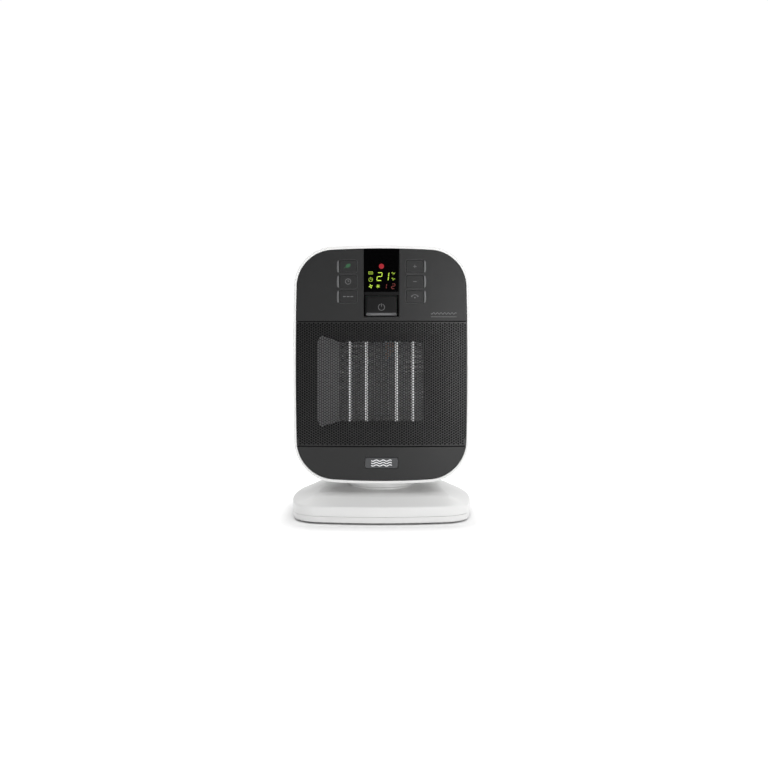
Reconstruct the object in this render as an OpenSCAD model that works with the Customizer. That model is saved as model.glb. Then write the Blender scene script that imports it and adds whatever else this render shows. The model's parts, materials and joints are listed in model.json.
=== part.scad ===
// Ceramic fan heater: a swinging head on a flat base.
// Millimetres. +Z is up and the front faces -Y. The origin is on the floor at
// the centre of the base, and the head swings about the Z axis.

/* [Head] */
// Width of the head
head_w = 199; // [190:1:210]
// Depth of the head, from the bowed front to the back
head_d = 126; // [124:1:132]
// Underside of the head above the floor
head_z0 = 41.6; // [41.4:0.1:42]
// Top of the head above the floor
head_z1 = 309; // [305:1:315]
// Corner radius at the top, seen from the front
top_corner = 45; // [38:0.5:52]
// Corner radius at the bottom, seen from the front
low_corner = 47; // [38:0.5:52]
// Radius of the bowed top edge
top_bow = 1160; // [900:10:3000]
// Radius of the bowed bottom edge
low_bow = 980; // [900:10:3000]
// Radius of the bowed sides
side_bow = 3500; // [3000:100:9000]
// Radius of the front face, which is part of an upright cylinder
front_bow = 800; // [600:10:1500]
// Radius of the rounded back corners
back_corner = 45; // [40:1:48]
// Wall thickness of the white shells
wall = 3; // [2.5:0.1:3.2]
// Width of the white rim around the dark front
rim = 3.3; // [3.2:0.1:4]
// Plane where the front and rear shells meet
split_y = 12; // [8:1:14]

/* [Front] */
// Seam between the upper fascia and the grille
seam_high = 224.2; // [222:0.1:226]
// Seam between the grille and the lower fascia
seam_low = 83.1; // [82:0.1:85]
// Thickness of the fascias
fascia_t = 3; // [2.5:0.1:3.2]
// Width of the display window
window_w = 40; // [38:0.5:42]
// Lower edge of the display window
window_z0 = 228.7; // [228:0.1:229.5]
// Width of the power button
power_w = 33.8; // [32:0.1:35]
// Lower edge of the power button
power_z0 = 230.4; // [230:0.1:231]
// Upper edge of the power button
power_z1 = 251.9; // [248:0.1:252]
// Height of the bright strip on the power button
trim_h = 3; // [2:0.1:4]
// Inner edge of the button pads, from the middle
pad_x0 = 27.6; // [27:0.1:29]
// Width of a button pad
pad_w = 19.6; // [18:0.1:20]
// Height of a button pad
pad_h = 13.9; // [12:0.1:14]
// Height of the middle row of buttons
pad_mid_z = 268.5; // [267:0.1:269]
// Distance between the rows of buttons
pad_pitch = 16.9; // [16.9:0.1:18]
// Width of the bright bar beside each pad
accent_w = 2.8; // [2:0.1:3]
// Travel of every button
key_travel = 0.8; // [0.4:0.1:0.8]
// Width of the badge plate
badge_w = 36.7; // [30:0.1:40]
// Height of the badge plate
badge_h = 11.8; // [10:0.1:13]
// Middle of the badge plate above the floor
badge_z = 65.2; // [62:0.1:68]

/* [Heater] */
// Height of the fan axis and the middle of the heater
axis_z = 155; // [154:0.5:156]
// Height of the heater's fins
fin_h = 92; // [88:1:94]
// Depth of the heater's fins
fin_d = 18; // [14:1:18]
// Tip radius of the fan
fan_r = 54.5; // [50:0.5:54.5]
// Number of fan blades
blades = 7; // [5:1:9]
// Radius of the motor shaft
shaft_r = 2; // [2:0.1:2]
// Radial running clearance of shafts and pivots
run_gap = 0.05; // [0.02:0.01:0.09]

/* [Base] */
// Width of the base
base_w = 208; // [204:1:212]
// Depth of the base
base_d = 176; // [170:1:180]
// Corner radius of the base
base_corner = 35; // [30:1:40]
// Radius of the bowed front and back edges of the base
base_bow = 360; // [300:10:500]
// Radius of the bowed sides of the base
base_side_bow = 250; // [230:10:600]
// Underside of the tray above the floor
tray_z0 = 2; // [1.5:0.1:2.5]
// Height where the tray meets the cover
tray_z1 = 8.8; // [8:0.1:9]
// Height where the upright wall of the base ends
lip_z = 19.4; // [19:0.1:21]
// Radius of the turning post
post_r = 11.95; // [11:0.05:12.5]
// Teeth on the fixed swing gear
gear_teeth = 42; // [42:2:42]
// Teeth on the drive pinion
pinion_teeth = 14; // [14:2:14]

/* [Hidden] */
$fn = 64;

front_y = -head_d / 2;
back_y = head_d / 2;
head_mid_z = (head_z0 + head_z1) / 2;
far = 200;
gap = 0.1;

// Colours
white = [0.93, 0.93, 0.92];
charcoal = [0.2, 0.2, 0.21];
black = [0.05, 0.05, 0.05];
silver = [0.72, 0.73, 0.74];
steel = [0.6, 0.61, 0.62];
board_green = [0.1, 0.32, 0.2];

// Front: windows, boards and switches
board_y = -50;
board_t = 1.6;
board_post = [53, 3];
board_post_z = [237, 297];
board_half_w = 57;
switch_body = [6, 2.8, 6];
switch_top_y = board_y - 3.3;
stem_y = switch_top_y - key_travel - gap;
key_gap = 0.3;
key_flange = 1;
led_z = 285.5;
led_r = 2.9;
module_z = [257, 281.5];
accent_x0 = pad_x0 + pad_w + 0.3;

// Air path
duct_front_y = -54.2;
duct_back_y = -30;
duct_open = [73.4, 101, 212];
duct_throat = [48, axis_z - fin_h / 2 - gap, axis_z + fin_h / 2 + gap];
duct_wall = 2;
duct_flange = [88, 90, 217];
duct_post_x = 80;
duct_post_dz = 45;
duct_post_r = 4;
fin_y0 = -27;
fin_y1 = fin_y0 + fin_d;
heater_half_w = 47.6;
bar_x = [17.5, 36.6];
bar_w = 3.2;
plate_t = 0.6;
cap_h = 6.5;
bar_over = 4;
shroud_y0 = -6;
shroud_y1 = 22.2;
shroud_r = 56;
spider_t = 2.4;
stator_y0 = 28;
stator_y1 = 44;
rotor_r = 12.8;
bolt_x = 20;

// Rear intake and filter
well_x = 62;
well_z = [95, 215];
well_y = 56;
intake_y = 53;
filter_gap = 0.3;
handle_x = 45;
handle_z = [265, 293];
handle_y = 40;
screw_x = 80;
screw_z = [85, 262];

// Base and swing drive
bevel_x = 24;
bevel_y = 21;
corner_reach = 114;
seat_r = 42;
seat_z = 34.2;
seat_t = 3.2;
foot_x = 76;
foot_y = 60;
foot_r = 8.5;
tray_screw_x = 46;
tray_screw_y = 70;
cover_t = 2.6;
inlet_x = 45;
inlet_z = 14;
inlet_r = 3.6;
plunger_y = -67;
plunger_r = 6;
plunger_drop = 3;
neck_r = 40.5;
throat_r = 37;
hub_z1 = 50;
gear_z = [51.6, 57.6];
gear_module = 1;
pinion_x = gear_module * (gear_teeth + pinion_teeth) / 2;
clip_z = [57.9, 59.1];
post_z1 = 61;
bracket_z = [60.4, 62.4];
collar_r = 34.5;
collar_z1 = 48;
lug_r = 43.5;
lug_t = 2.2;
lug_half = 12;
leg_r = 35.2;
leg_angles = [35, -35, 80, -80];
power_board_low = [-72, -46, 53];
power_board_high = [-42, 10, 54.6];
power_board_x = [-66, -47];
power_board_y = [-40, 4];

// ---------- outlines ----------

// Points of an arc about c, without its last point
function arc(c, r, a0, a1, n) =
    [for (i = [0:n - 1]) let (a = a0 + (a1 - a0) * i / n) c + r * [cos(a), sin(a)]];

// Centre of a corner circle that touches the bowed side and the bowed edge
function corner_centre(a, v, side_r, edge_r, r, c, k) =
    k == 0 ? c : corner_centre(a, v, side_r, edge_r, r,
        [a - side_r + sqrt((side_r - r) ^ 2 - c[1] ^ 2),
         v - edge_r + sqrt((edge_r - r) ^ 2 - c[0] ^ 2)], k - 1);

// Right half of a rounded rectangle whose four edges are bowed. Half width a,
// v from v0 to v1, corner radii r0 and r1, edge radii e0 and e1.
function bowed_half(a, v0, v1, r0, r1, e0, e1, s) =
    let (m = (v0 + v1) / 2,
         h = (v1 - v0) / 2,
         c0 = corner_centre(a, h, s, e0, r0, [a - r0, h - r0], 6),
         c1 = corner_centre(a, h, s, e1, r1, [a - r1, h - r1], 6),
         edge0 = atan2(c0[1] - h + e0, c0[0]),
         side0 = atan2(c0[1], c0[0] - a + s),
         edge1 = atan2(c1[1] - h + e1, c1[0]),
         side1 = atan2(c1[1], c1[0] - a + s))
    concat(
        arc([0, v0 + e0], e0, -90, -edge0, 4),
        arc([c0[0], m - c0[1]], r0, -edge0, -side0, 10),
        arc([a - s, m], s, -side0, side1, 4),
        arc([c1[0], m + c1[1]], r1, side1, edge1, 10),
        arc([0, v1 - e1], e1, edge1, 90, 4),
        [[0, v1]]);

module bowed(a, v0, v1, r0, r1, e0, e1, s) {
    half = bowed_half(a, v0, v1, r0, r1, e0, e1, s);
    last = len(half) - 1;
    polygon(concat(half, [for (i = [last - 1:-1:1]) [-half[i][0], half[i][1]]]));
}

module head_outline(inset) {
    bowed(head_w / 2 - inset, head_z0 + inset, head_z1 - inset,
        low_corner - inset, top_corner - inset,
        low_bow - inset, top_bow - inset, side_bow - inset);
}

module head_plan(inset) {
    bowed(head_w / 2 - inset, front_y, back_y - inset,
        4, back_corner - inset, front_bow, 900 - inset, side_bow);
}

module head_side(inset) {
    translate([head_mid_z, 0])
        bowed((head_z1 - head_z0) / 2 - inset, front_y, back_y - inset,
            4, back_corner - inset, 3000, 1500 - inset, side_bow);
}

module base_outline(inset) {
    bowed(base_w / 2 - inset, inset - base_d / 2, base_d / 2 - inset,
        base_corner - inset, base_corner - inset,
        base_bow - inset, base_bow - inset, base_side_bow - inset);
}

module rounded_rect(w, h, r) {
    x = w / 2 - r;
    y = h / 2 - r;
    polygon(concat(
        arc([x, y], r, 0, 112.5, 5), arc([-x, y], r, 90, 202.5, 5),
        arc([-x, -y], r, 180, 292.5, 5), arc([x, -y], r, 270, 382.5, 5)));
}

// ---------- helpers ----------

// A profile drawn in X and Z, from y0 to y1
module along_y(y0, y1) {
    translate([0, y1, 0])
        rotate([90, 0, 0])
            linear_extrude(y1 - y0)
                children();
}

// A profile drawn as [Z, Y], across the whole width
module along_x(w) {
    rotate([0, -90, 0])
        linear_extrude(w, center = true)
            children();
}

// A cylinder along Y
module rod_y(x, z, r, y0, y1) {
    translate([x, y0, z])
        rotate([-90, 0, 0])
            cylinder(r = r, h = y1 - y0);
}

module rod_z(x, y, r, z0, z1) {
    translate([x, y, z0])
        cylinder(r = r, h = z1 - z0);
}

// A box from its lowest to its highest corner
module block(low, high) {
    translate(low)
        cube(high - low);
}

module head_solid(inset) {
    intersection() {
        along_y(front_y - 1, back_y + 1) head_outline(inset);
        linear_extrude(far * 2) head_plan(inset);
        along_x(far * 2) head_side(inset);
    }
}

// The layer from depth t0 to depth t1 behind the bowed front face
module skin(t0, t1) {
    translate([0, front_y + front_bow, 0])
        difference() {
            cylinder(r = front_bow - t0, h = far * 2, $fn = 512);
            translate([0, 0, -1])
                cylinder(r = front_bow - t1, h = far * 2 + 2, $fn = 512);
        }
}

// A rounded pad seen from the front, cut to the layer from t0 to t1
module skin_pad(x, z, w, h, r, t0, t1) {
    intersection() {
        along_y(front_y - 5, front_y + 15)
            translate([x, z])
                rounded_rect(w, h, r);
        skin(t0, t1);
    }
}

module mirrored_x() {
    children();
    mirror([1, 0, 0]) children();
}

module four(x, y) {
    for (sx = [-1, 1], sy = [-1, 1])
        translate([sx * x, sy * y, 0]) children();
}

// A pan-head screw whose head rests at z 0 and whose shank points to +Z
module screw(r, head_r, head_h, length) {
    translate([0, 0, -head_h]) cylinder(r = head_r, h = head_h);
    translate([0, 0, -0.01]) cylinder(r = r, h = length + 0.01);
}

// ---------- base ----------

// Section of the base cover across its depth, [y, z]
module cover_section(half, lip, crease, crease_z, bow, drop) {
    top_z = crease_z + bow - sqrt(bow ^ 2 - crease ^ 2);
    intersection() {
        polygon([
            [-half, 0], [half, 0], [half, lip - drop], [crease, crease_z - drop],
            [crease, top_z], [-crease, top_z],
            [-crease, crease_z - drop], [-half, lip - drop]
        ]);
        translate([0, top_z - bow - drop])
            circle(r = bow, $fn = 512);
    }
}

module cover_solid(inset) {
    intersection() {
        translate([0, 0, tray_z1 - (inset > 0 ? 1 : 0)])
            linear_extrude(far) base_outline(inset);
        rotate([90, 0, 90])
            linear_extrude(far * 2, center = true)
                cover_section(base_d / 2, lip_z, base_d / 2 - bevel_y, 27.7, 332, inset);
        rotate([90, 0, 0])
            linear_extrude(far * 2, center = true)
                cover_section(base_w / 2, lip_z, base_w / 2 - bevel_x, 30.2, 745, inset);
        for (a = [45, -45])
            rotate([90, 0, a])
                linear_extrude(far * 2, center = true)
                    cover_section(corner_reach, lip_z, corner_reach - bevel_x, 30, 800, inset);
    }
}

module base_cover() {
    boss_top = 24;
    color(white)
        difference() {
            union() {
                difference() {
                    cover_solid(0);
                    cover_solid(cover_t);
                }
                rod_z(0, 0, seat_r, seat_z - seat_t, seat_z);
                intersection() {
                    four(tray_screw_x, tray_screw_y)
                        cylinder(r = 5, h = boss_top);
                    cover_solid(0);
                }
            }
            rod_z(0, 0, seat_r, seat_z, far);
            rod_z(0, 0, post_r + 0.5, 0, far);
            four(tray_screw_x, tray_screw_y)
                cylinder(r = 1.5, h = 19);
            for (a = [30, 150, 270])
                rotate([0, 0, a])
                    rod_z(18, 0, 1.5, 25, seat_z - 0.6);
            rod_y(inlet_x, inlet_z, inlet_r + 1.3, 70, 95);
        }
}

module base_tray() {
    floor_z = tray_z0 + 2.5;
    color(white)
        difference() {
            union() {
                difference() {
                    translate([0, 0, tray_z0])
                        linear_extrude(tray_z1 - tray_z0) base_outline(0);
                    translate([0, 0, floor_z])
                        linear_extrude(tray_z1) base_outline(cover_t);
                }
                four(tray_screw_x, tray_screw_y)
                    rod_z(0, 0, 5.5, tray_z0, tray_z1);
                rod_z(0, plunger_y, plunger_r + 2.3, tray_z0, 6.4);
                for (x = [-13, 13])
                    rod_z(x, plunger_y, 2.5, tray_z0, 13);
            }
            four(tray_screw_x, tray_screw_y) {
                rod_z(0, 0, 1.8, 0, 12);
                rod_z(0, 0, 3.6, 0, tray_z0 + 2);
            }
            four(foot_x, foot_y)
                rod_z(0, 0, foot_r + 0.2, 0, tray_z0 + 1);
            rod_z(0, plunger_y, plunger_r + 0.3, 0, 12);
        }
}

module rubber_feet() {
    color(black)
        four(foot_x, foot_y)
            cylinder(r1 = foot_r - 0.6, r2 = foot_r, h = tray_z0 + 1);
}

module base_screws() {
    color(steel) {
        four(tray_screw_x, tray_screw_y)
            translate([0, 0, tray_z0 + 2])
                screw(1.4, 3.2, 1.6, 14);
        for (a = [30, 150, 270])
            rotate([0, 0, a])
                translate([18, 0, seat_z - seat_t - 3])
                    screw(1.4, 3.2, 1.6, 5);
    }
}

module swivel_post() {
    flange_z1 = seat_z - seat_t;
    color(charcoal)
        difference() {
            union() {
                rod_z(0, 0, 24, flange_z1 - 3, flange_z1);
                rod_z(0, 0, post_r, flange_z1 - 8, post_z1);
            }
            rod_z(0, 0, 8, 0, 80);
            for (a = [30, 150, 270])
                rotate([0, 0, a])
                    rod_z(18, 0, 1.8, 20, 40);
            difference() {
                rod_z(0, 0, 20, clip_z[0], clip_z[1]);
                rod_z(0, 0, post_r - 1.3, clip_z[0], clip_z[1]);
            }
            for (a = [90, 270])
                rotate([0, 0, a])
                    block([post_r - 1.6, -1.6, gear_z[0]], [20, 1.6, 80]);
        }
}

module ring(r0, r1, z0, z1) {
    difference() {
        rod_z(0, 0, r1, z0, z1);
        rod_z(0, 0, r0, z0 - 1, z1 + 1);
    }
}

module thrust_washer() {
    color([0.85, 0.85, 0.8])
        ring(20, 34, seat_z, seat_z + 1.8);
}

module retaining_washer() {
    color(steel)
        ring(post_r + run_gap, 19, hub_z1 + 0.2, gear_z[0]);
}

module post_clip() {
    color(steel)
        difference() {
            ring(post_r - 1.2, 15, clip_z[0] + gap / 2, clip_z[1] - gap / 2);
            block([-4, 0, 50], [4, 20, 70]);
        }
}

// Involute of a circle: the point at roll angle t, in degrees
function involute(rb, t) =
    rb * [cos(t) + t * PI / 180 * sin(t), sin(t) - t * PI / 180 * cos(t)];

// Roll angle where the involute reaches radius r
function roll(rb, r) = sqrt(max(0, (r / rb) ^ 2 - 1)) * 180 / PI;

function turn(p, a) = [p[0] * cos(a) - p[1] * sin(a), p[0] * sin(a) + p[1] * cos(a)];

// One flank of a tooth, from the root to the tip. The tooth is thinned by
// slack at the pitch circle, so that a pair runs with backlash.
function flank(teeth, slack) =
    let (rp = gear_module * teeth / 2,
         rb = rp * cos(20),
         tip = rp + 0.8 * gear_module,
         root = rp - 1.15 * gear_module,
         t_pitch = roll(rb, rp),
         at_pitch = involute(rb, t_pitch),
         half_tooth = 90 / teeth - slack / rp * 90 / PI,
         back = -atan2(at_pitch[1], at_pitch[0]) - half_tooth)
    concat(
        [root * [cos(back), sin(back)]],
        [for (i = [0:6]) turn(involute(rb, roll(rb, max(tip * i / 6 + rb * (1 - i / 6), rb))), back)]);

module gear_profile(teeth, slack) {
    low = flank(teeth, slack);
    last = len(low) - 1;
    tooth = concat(low, [for (i = [last:-1:0]) [low[i][0], -low[i][1]]]);
    polygon([for (k = [0:teeth - 1]) for (p = tooth) turn(p, 360 / teeth * k)]);
}

module swing_gear() {
    color([0.9, 0.88, 0.8])
        difference() {
            translate([0, 0, gear_z[0]])
                linear_extrude(gear_z[1] - gear_z[0])
                    gear_profile(gear_teeth, 0.25);
            difference() {
                rod_z(0, 0, post_r + run_gap, 40, 70);
                for (a = [90, 270])
                    rotate([0, 0, a])
                        block([post_r - 1.4, -1.4, 40], [20, 1.4, 70]);
            }
        }
}

module drive_pinion() {
    color([0.9, 0.88, 0.8])
        translate([pinion_x, 0, 0]) {
            translate([0, 0, gear_z[0] + 0.2])
                linear_extrude(gear_z[1] - gear_z[0] - 0.4)
                    rotate(180 / pinion_teeth)
                        gear_profile(pinion_teeth, 0.25);
            rod_z(0, 0, 2.5, gear_z[1] - 0.4, bracket_z[1] + 9);
        }
}

module tip_switch() {
    color(black)
        difference() {
            union() {
                block([-16, plunger_y - 3.5, 13], [16, plunger_y + 3.5, 15]);
                block([-10, plunger_y - 3.5, 13], [10, plunger_y + 3.5, 22]);
            }
            for (x = [-13, 13])
                rod_z(x, plunger_y, 1.2, 10, 18);
        }
}

module tip_plunger() {
    flange_z = 6.4 + plunger_drop + gap;
    color(charcoal) {
        rod_z(0, plunger_y, plunger_r, 0, flange_z + 0.5);
        rod_z(0, plunger_y, plunger_r + 1.6, flange_z, flange_z + 1.5);
        rod_z(0, plunger_y, 2.5, flange_z + 1, 12.8);
    }
}

module cord_inlet() {
    color(charcoal)
        difference() {
            union() {
                rod_y(inlet_x, inlet_z, inlet_r + 1.2, 77, 87.6);
                rod_y(inlet_x, inlet_z, 6.5, 86.2, 87.6);
                rod_y(inlet_x, inlet_z, inlet_r + 1.9, 77, 80);
            }
            rod_y(inlet_x, inlet_z, inlet_r, 70, 95);
        }
}

// ---------- shells ----------

module neck_ring() {
    washer_z = seat_z + 2;
    rim_r = 36.2;
    floor_z = 38.8;
    hub_r = 17;
    color(white) {
        rotate_extrude($fn = 96)
            polygon([
                [post_r + run_gap, washer_z], [rim_r, washer_z],
                [rim_r, seat_z + 0.5], [neck_r, seat_z + 0.5],
                [neck_r, head_z0 - 0.2], [throat_r, head_z0 - 0.2],
                [throat_r, collar_z1], [collar_r, collar_z1], [collar_r, floor_z],
                [hub_r, floor_z], [hub_r, hub_z1], [post_r + run_gap, hub_z1]
            ]);
        intersection() {
            ring(throat_r - 1, lug_r, collar_z1 - lug_t, collar_z1);
            block([-lug_r, -lug_half, 0], [lug_r, lug_half, far]);
        }
    }
}

module front_housing() {
    color(white)
        difference() {
            union() {
                intersection() {
                    difference() {
                        along_y(front_y - 1, split_y) head_outline(0);
                        along_y(front_y - 2, split_y + 1) head_outline(wall);
                    }
                    linear_extrude(far * 2) head_plan(0);
                }
                intersection() {
                    difference() {
                        along_y(front_y - 1, split_y) head_outline(wall - 0.5);
                        along_y(front_y - 2, split_y + 1) head_outline(wall + 4);
                    }
                    skin(fascia_t + gap, fascia_t + 2.1);
                }
                for (sx = [-1, 1], z = screw_z)
                    rod_y(sx * screw_x, z, 5, -20, split_y);
                for (sx = [-1, 1], z = screw_z)
                    block([min(sx * screw_x, sx * 98), -20, z - 1.2],
                        [max(sx * screw_x, sx * 98), split_y, z + 1.2]);
                for (x = power_board_x, y = power_board_y)
                    intersection() {
                        rod_z(x, y, 3, 30, power_board_low[2]);
                        along_y(front_y, split_y) head_outline(0.5);
                    }
            }
            rod_z(0, 0, throat_r + 0.3, 30, collar_z1 + 4);
            for (sx = [-1, 1], z = screw_z)
                rod_y(sx * screw_x, z, 1.5, -10, split_y + 1);
            for (x = power_board_x, y = power_board_y)
                rod_z(x, y, 1.2, power_board_low[2] - 6, far);
        }
}

module intake_slots() {
    pitch = 6.4;
    for (z = [well_z[0] + 6:pitch:well_z[1] - 8])
        block([-54, intake_y - 1, z], [54, well_y + 1, z + 3.4]);
}

module rear_housing() {
    color(white)
        difference() {
            intersection() {
                head_solid(0);
                block([-far, split_y + 0.1, 0], [far, far, far * 2]);
                union() {
                    difference() {
                        block([-far, 0, 0], [far, far, far * 2]);
                        head_solid(wall);
                    }
                    block([-well_x - wall, intake_y, well_z[0] - wall],
                        [well_x + wall, far, well_z[1] + wall]);
                    block([-handle_x - wall, handle_y - wall, handle_z[0] - wall],
                        [handle_x + wall, far, handle_z[1] + wall]);
                    for (sx = [-1, 1], z = screw_z)
                        rod_y(sx * screw_x, z, 5, 0, back_y);
                }
            }
            rod_z(0, 0, throat_r + 0.3, 30, collar_z1 + 4);
            block([-well_x, well_y, well_z[0]], [well_x, far, well_z[1]]);
            intake_slots();
            block([-handle_x, handle_y, handle_z[0]], [handle_x, far, handle_z[1]]);
            for (sx = [-1, 1], z = screw_z) {
                rod_y(sx * screw_x, z, 1.9, 0, far);
                rod_y(sx * screw_x, z, 3.8, split_y + 6, far);
            }
        }
}

module housing_screws() {
    color(steel)
        for (sx = [-1, 1], z = screw_z)
            translate([sx * screw_x, split_y + 6, z])
                rotate([90, 0, 0])
                    screw(1.4, 3.4, 2, 20);
}

module filter_frame() {
    bar = 2.4;
    pitch = 12;
    z_mid = (well_z[0] + well_z[1]) / 2;
    half_h = (well_z[1] - well_z[0]) / 2 - filter_gap;
    half_w = well_x - filter_gap;
    color(white)
        intersection() {
            head_solid(0.4);
            union() {
                difference() {
                    block([-half_w, well_y + filter_gap, z_mid - half_h],
                        [half_w, far, z_mid + half_h]);
                    block([7 - half_w, 0, z_mid - half_h + 7],
                        [half_w - 7, far, z_mid + half_h - 7]);
                }
                for (z = [z_mid - 4 * pitch:pitch:z_mid + 4 * pitch])
                    block([6.5 - half_w, 58.6, z - bar / 2], [half_w - 6.5, far, z + bar / 2]);
                for (x = [-1, 1] * 18)
                    block([x - 1.2, 58.8, z_mid - half_h + 6], [x + 1.2, 61, z_mid + half_h - 6]);
            }
        }
}

module filter_mesh() {
    z_mid = (well_z[0] + well_z[1]) / 2;
    half_h = (well_z[1] - well_z[0]) / 2 - filter_gap - 7.1;
    half_w = well_x - filter_gap - 7.1;
    color(charcoal)
        block([-half_w, 57.4, z_mid - half_h], [half_w, 58.5, z_mid + half_h]);
}

// ---------- front ----------

module front_panel(z0, z1) {
    intersection() {
        along_y(front_y - 2, front_y + 20) head_outline(rim);
        block([-far, -far, z0], [far, far, z1]);
        skin(0, fascia_t);
    }
}

module upper_fascia() {
    color(charcoal)
        difference() {
            union() {
                front_panel(seam_high + 0.15, head_z1);
                for (sx = [-1, 1], z = board_post_z)
                    rod_y(sx * board_post[0], z, board_post[1], front_y + fascia_t + 1.5, board_y);
            }
            block([-window_w / 2, -far, window_z0], [window_w / 2, -54, head_z1 + 1]);
            for (sx = [-1, 1], row = [-1, 0, 1])
                along_y(front_y - 5, -52)
                    translate([key_x(sx), key_z(row)])
                        rounded_rect(pad_w + 2 * key_gap, pad_h + 2 * key_gap, 1.8);
            for (sx = [-1, 1], row = [-1, 0, 1])
                skin_pad(sx * (accent_x0 + accent_w / 2), key_z(row),
                    accent_w + 2 * gap, pad_h + 2 * gap, 1, -1, 1.6);
            for (sx = [-1, 1], z = board_post_z)
                rod_y(sx * board_post[0], z, 1.1, board_y - 6, board_y + 1);
        }
}

module lower_fascia() {
    color(charcoal)
        difference() {
            front_panel(head_z0, seam_low - 0.15);
            skin_pad(0, badge_z, badge_w + 2 * gap, badge_h + 2 * gap, 2.4, -1, 0.8);
        }
}

module badge() {
    color(silver)
        skin_pad(0, badge_z, badge_w, badge_h, 2.4, -0.6, 0.75);
}

module grille_mesh() {
    pitch = 11;
    hole_r = 4.3;
    row_h = pitch * sqrt(3) / 2;
    rows = floor((seam_high - seam_low - 10) / row_h / 2);
    z_mid = (seam_high + seam_low) / 2;
    color(charcoal)
        intersection() {
            along_y(front_y - 2, front_y + 20)
                difference() {
                    intersection() {
                        head_outline(rim);
                        translate([-far, seam_low + 0.15])
                            square([far * 2, seam_high - seam_low - 0.3]);
                    }
                    for (row = [-rows:rows], col = [-8:8])
                        translate([(col + (row % 2 == 0 ? 0 : 0.5)) * pitch - pitch / 4,
                                   z_mid + row * row_h])
                            circle(r = hole_r, $fn = 24);
                }
            skin(0.8, 1.8);
        }
}

module display_window() {
    color(black)
        difference() {
            intersection() {
                along_y(front_y - 2, front_y + 20) head_outline(rim);
                block([-window_w / 2 + gap, -far, window_z0 + gap],
                    [window_w / 2 - gap, far, head_z1]);
                skin(0, 2);
            }
            block([-power_w / 2 - 0.35, -far, power_z0 - 0.35],
                [power_w / 2 + 0.35, far, power_z1 + 0.35]);
        }
}

module accent_bars() {
    color(silver)
        for (sx = [-1, 1], row = [-1, 0, 1])
            skin_pad(sx * (accent_x0 + accent_w / 2), key_z(row),
                accent_w, pad_h, 1, -0.5, 1.5);
}

// A button: its pad, the flange that keeps it in the fascia, and its stem
module key(x, z) {
    color(charcoal) {
        skin_pad(x, z, pad_w, pad_h, 1.5, -0.4, fascia_t + 0.8);
        skin_pad(x, z, pad_w + 2 * key_flange, pad_h + 2 * key_flange, 1.5,
            fascia_t + 0.3, fascia_t + 1.3);
        rod_y(x, z, 2.5, front_y + fascia_t + 1.6, stem_y);
    }
}

function key_x(side) = side * (pad_x0 + pad_w / 2);
function key_z(row) = pad_mid_z + row * pad_pitch;

module eco_button() { key(key_x(-1), key_z(1)); }
module timer_button() { key(key_x(-1), key_z(0)); }
module mode_button() { key(key_x(-1), key_z(-1)); }
module plus_button() { key(key_x(1), key_z(1)); }
module minus_button() { key(key_x(1), key_z(0)); }
module swing_button() { key(key_x(1), key_z(-1)); }

module power_button() {
    z0 = power_z0 + trim_h;
    z_mid = (z0 + power_z1) / 2;
    color(black) {
        skin_pad(0, z_mid, power_w, power_z1 - z0, 1, -0.6, fascia_t + 0.8);
        skin_pad(0, z_mid, power_w + 2.4, power_z1 - z0 + 2.4, 1,
            fascia_t + 0.3, fascia_t + 1.3);
        rod_y(0, z_mid, 2.5, front_y + fascia_t + 1, stem_y);
    }
}

module power_trim() {
    color(silver)
        skin_pad(0, power_z0 + trim_h / 2, power_w, trim_h, 0.8, -1, fascia_t);
}

module display_board() {
    color(board_green)
        difference() {
            block([-board_half_w, board_y, 232], [board_half_w, board_y + board_t, 301]);
            for (sx = [-1, 1], z = board_post_z)
                rod_y(sx * board_post[0], z, 1.6, board_y - 5, board_y + 5);
        }
}

module display_module() {
    color(black)
        block([-16, -60.4, module_z[0]], [16, board_y, module_z[1]]);
}

module status_led() {
    color([0.8, 0.05, 0.05])
        rod_y(0, led_z, led_r, -60.4, board_y);
}

module tact_switch(x, z) {
    w = switch_body[0] / 2;
    block([x - w, board_y - switch_body[1], z - w], [x + w, board_y, z + w]);
    rod_y(x, z, 1.6, switch_top_y, board_y - 1);
}

module tact_switches() {
    color(steel) {
        for (sx = [-1, 1], row = [-1, 0, 1])
            tact_switch(key_x(sx), key_z(row));
        tact_switch(0, (power_z0 + trim_h + power_z1) / 2);
    }
}

// ---------- air path and heater ----------

module duct_slab(half_w, z0, z1, r, y) {
    along_y(y, y + 0.1)
        translate([0, (z0 + z1) / 2])
            rounded_rect(2 * half_w, z1 - z0, r);
}

module funnel(grow, over) {
    hull() {
        duct_slab(duct_open[0] + grow, duct_open[1] - grow, duct_open[2] + grow,
            14 + grow, duct_front_y - over);
        duct_slab(duct_throat[0] + grow, duct_throat[1] - grow, duct_throat[2] + grow,
            3 + grow, duct_back_y + over);
    }
}

module air_duct() {
    color(charcoal)
        difference() {
            union() {
                block([-duct_flange[0], duct_front_y, duct_flange[1]],
                    [duct_flange[0], duct_front_y + 2, duct_flange[2]]);
                funnel(duct_wall, 0);
                for (sx = [-1, 1], sz = [-1, 1])
                    rod_y(sx * duct_post_x, axis_z + sz * duct_post_dz, duct_post_r,
                        duct_front_y, shroud_y0);
            }
            funnel(0, 0.5);
            for (sx = [-1, 1], sz = [-1, 1])
                rod_y(sx * duct_post_x, axis_z + sz * duct_post_dz, 1.5,
                    shroud_y0 - 12, shroud_y0 + 1);
        }
}

// Middles of the thin plates between the fin columns
plate_half = [bar_x[0] / 2 - bar_w / 4, (bar_x[0] + bar_x[1]) / 2, heater_half_w - plate_t / 2];
plate_x = concat([0], plate_half, -plate_half);

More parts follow.
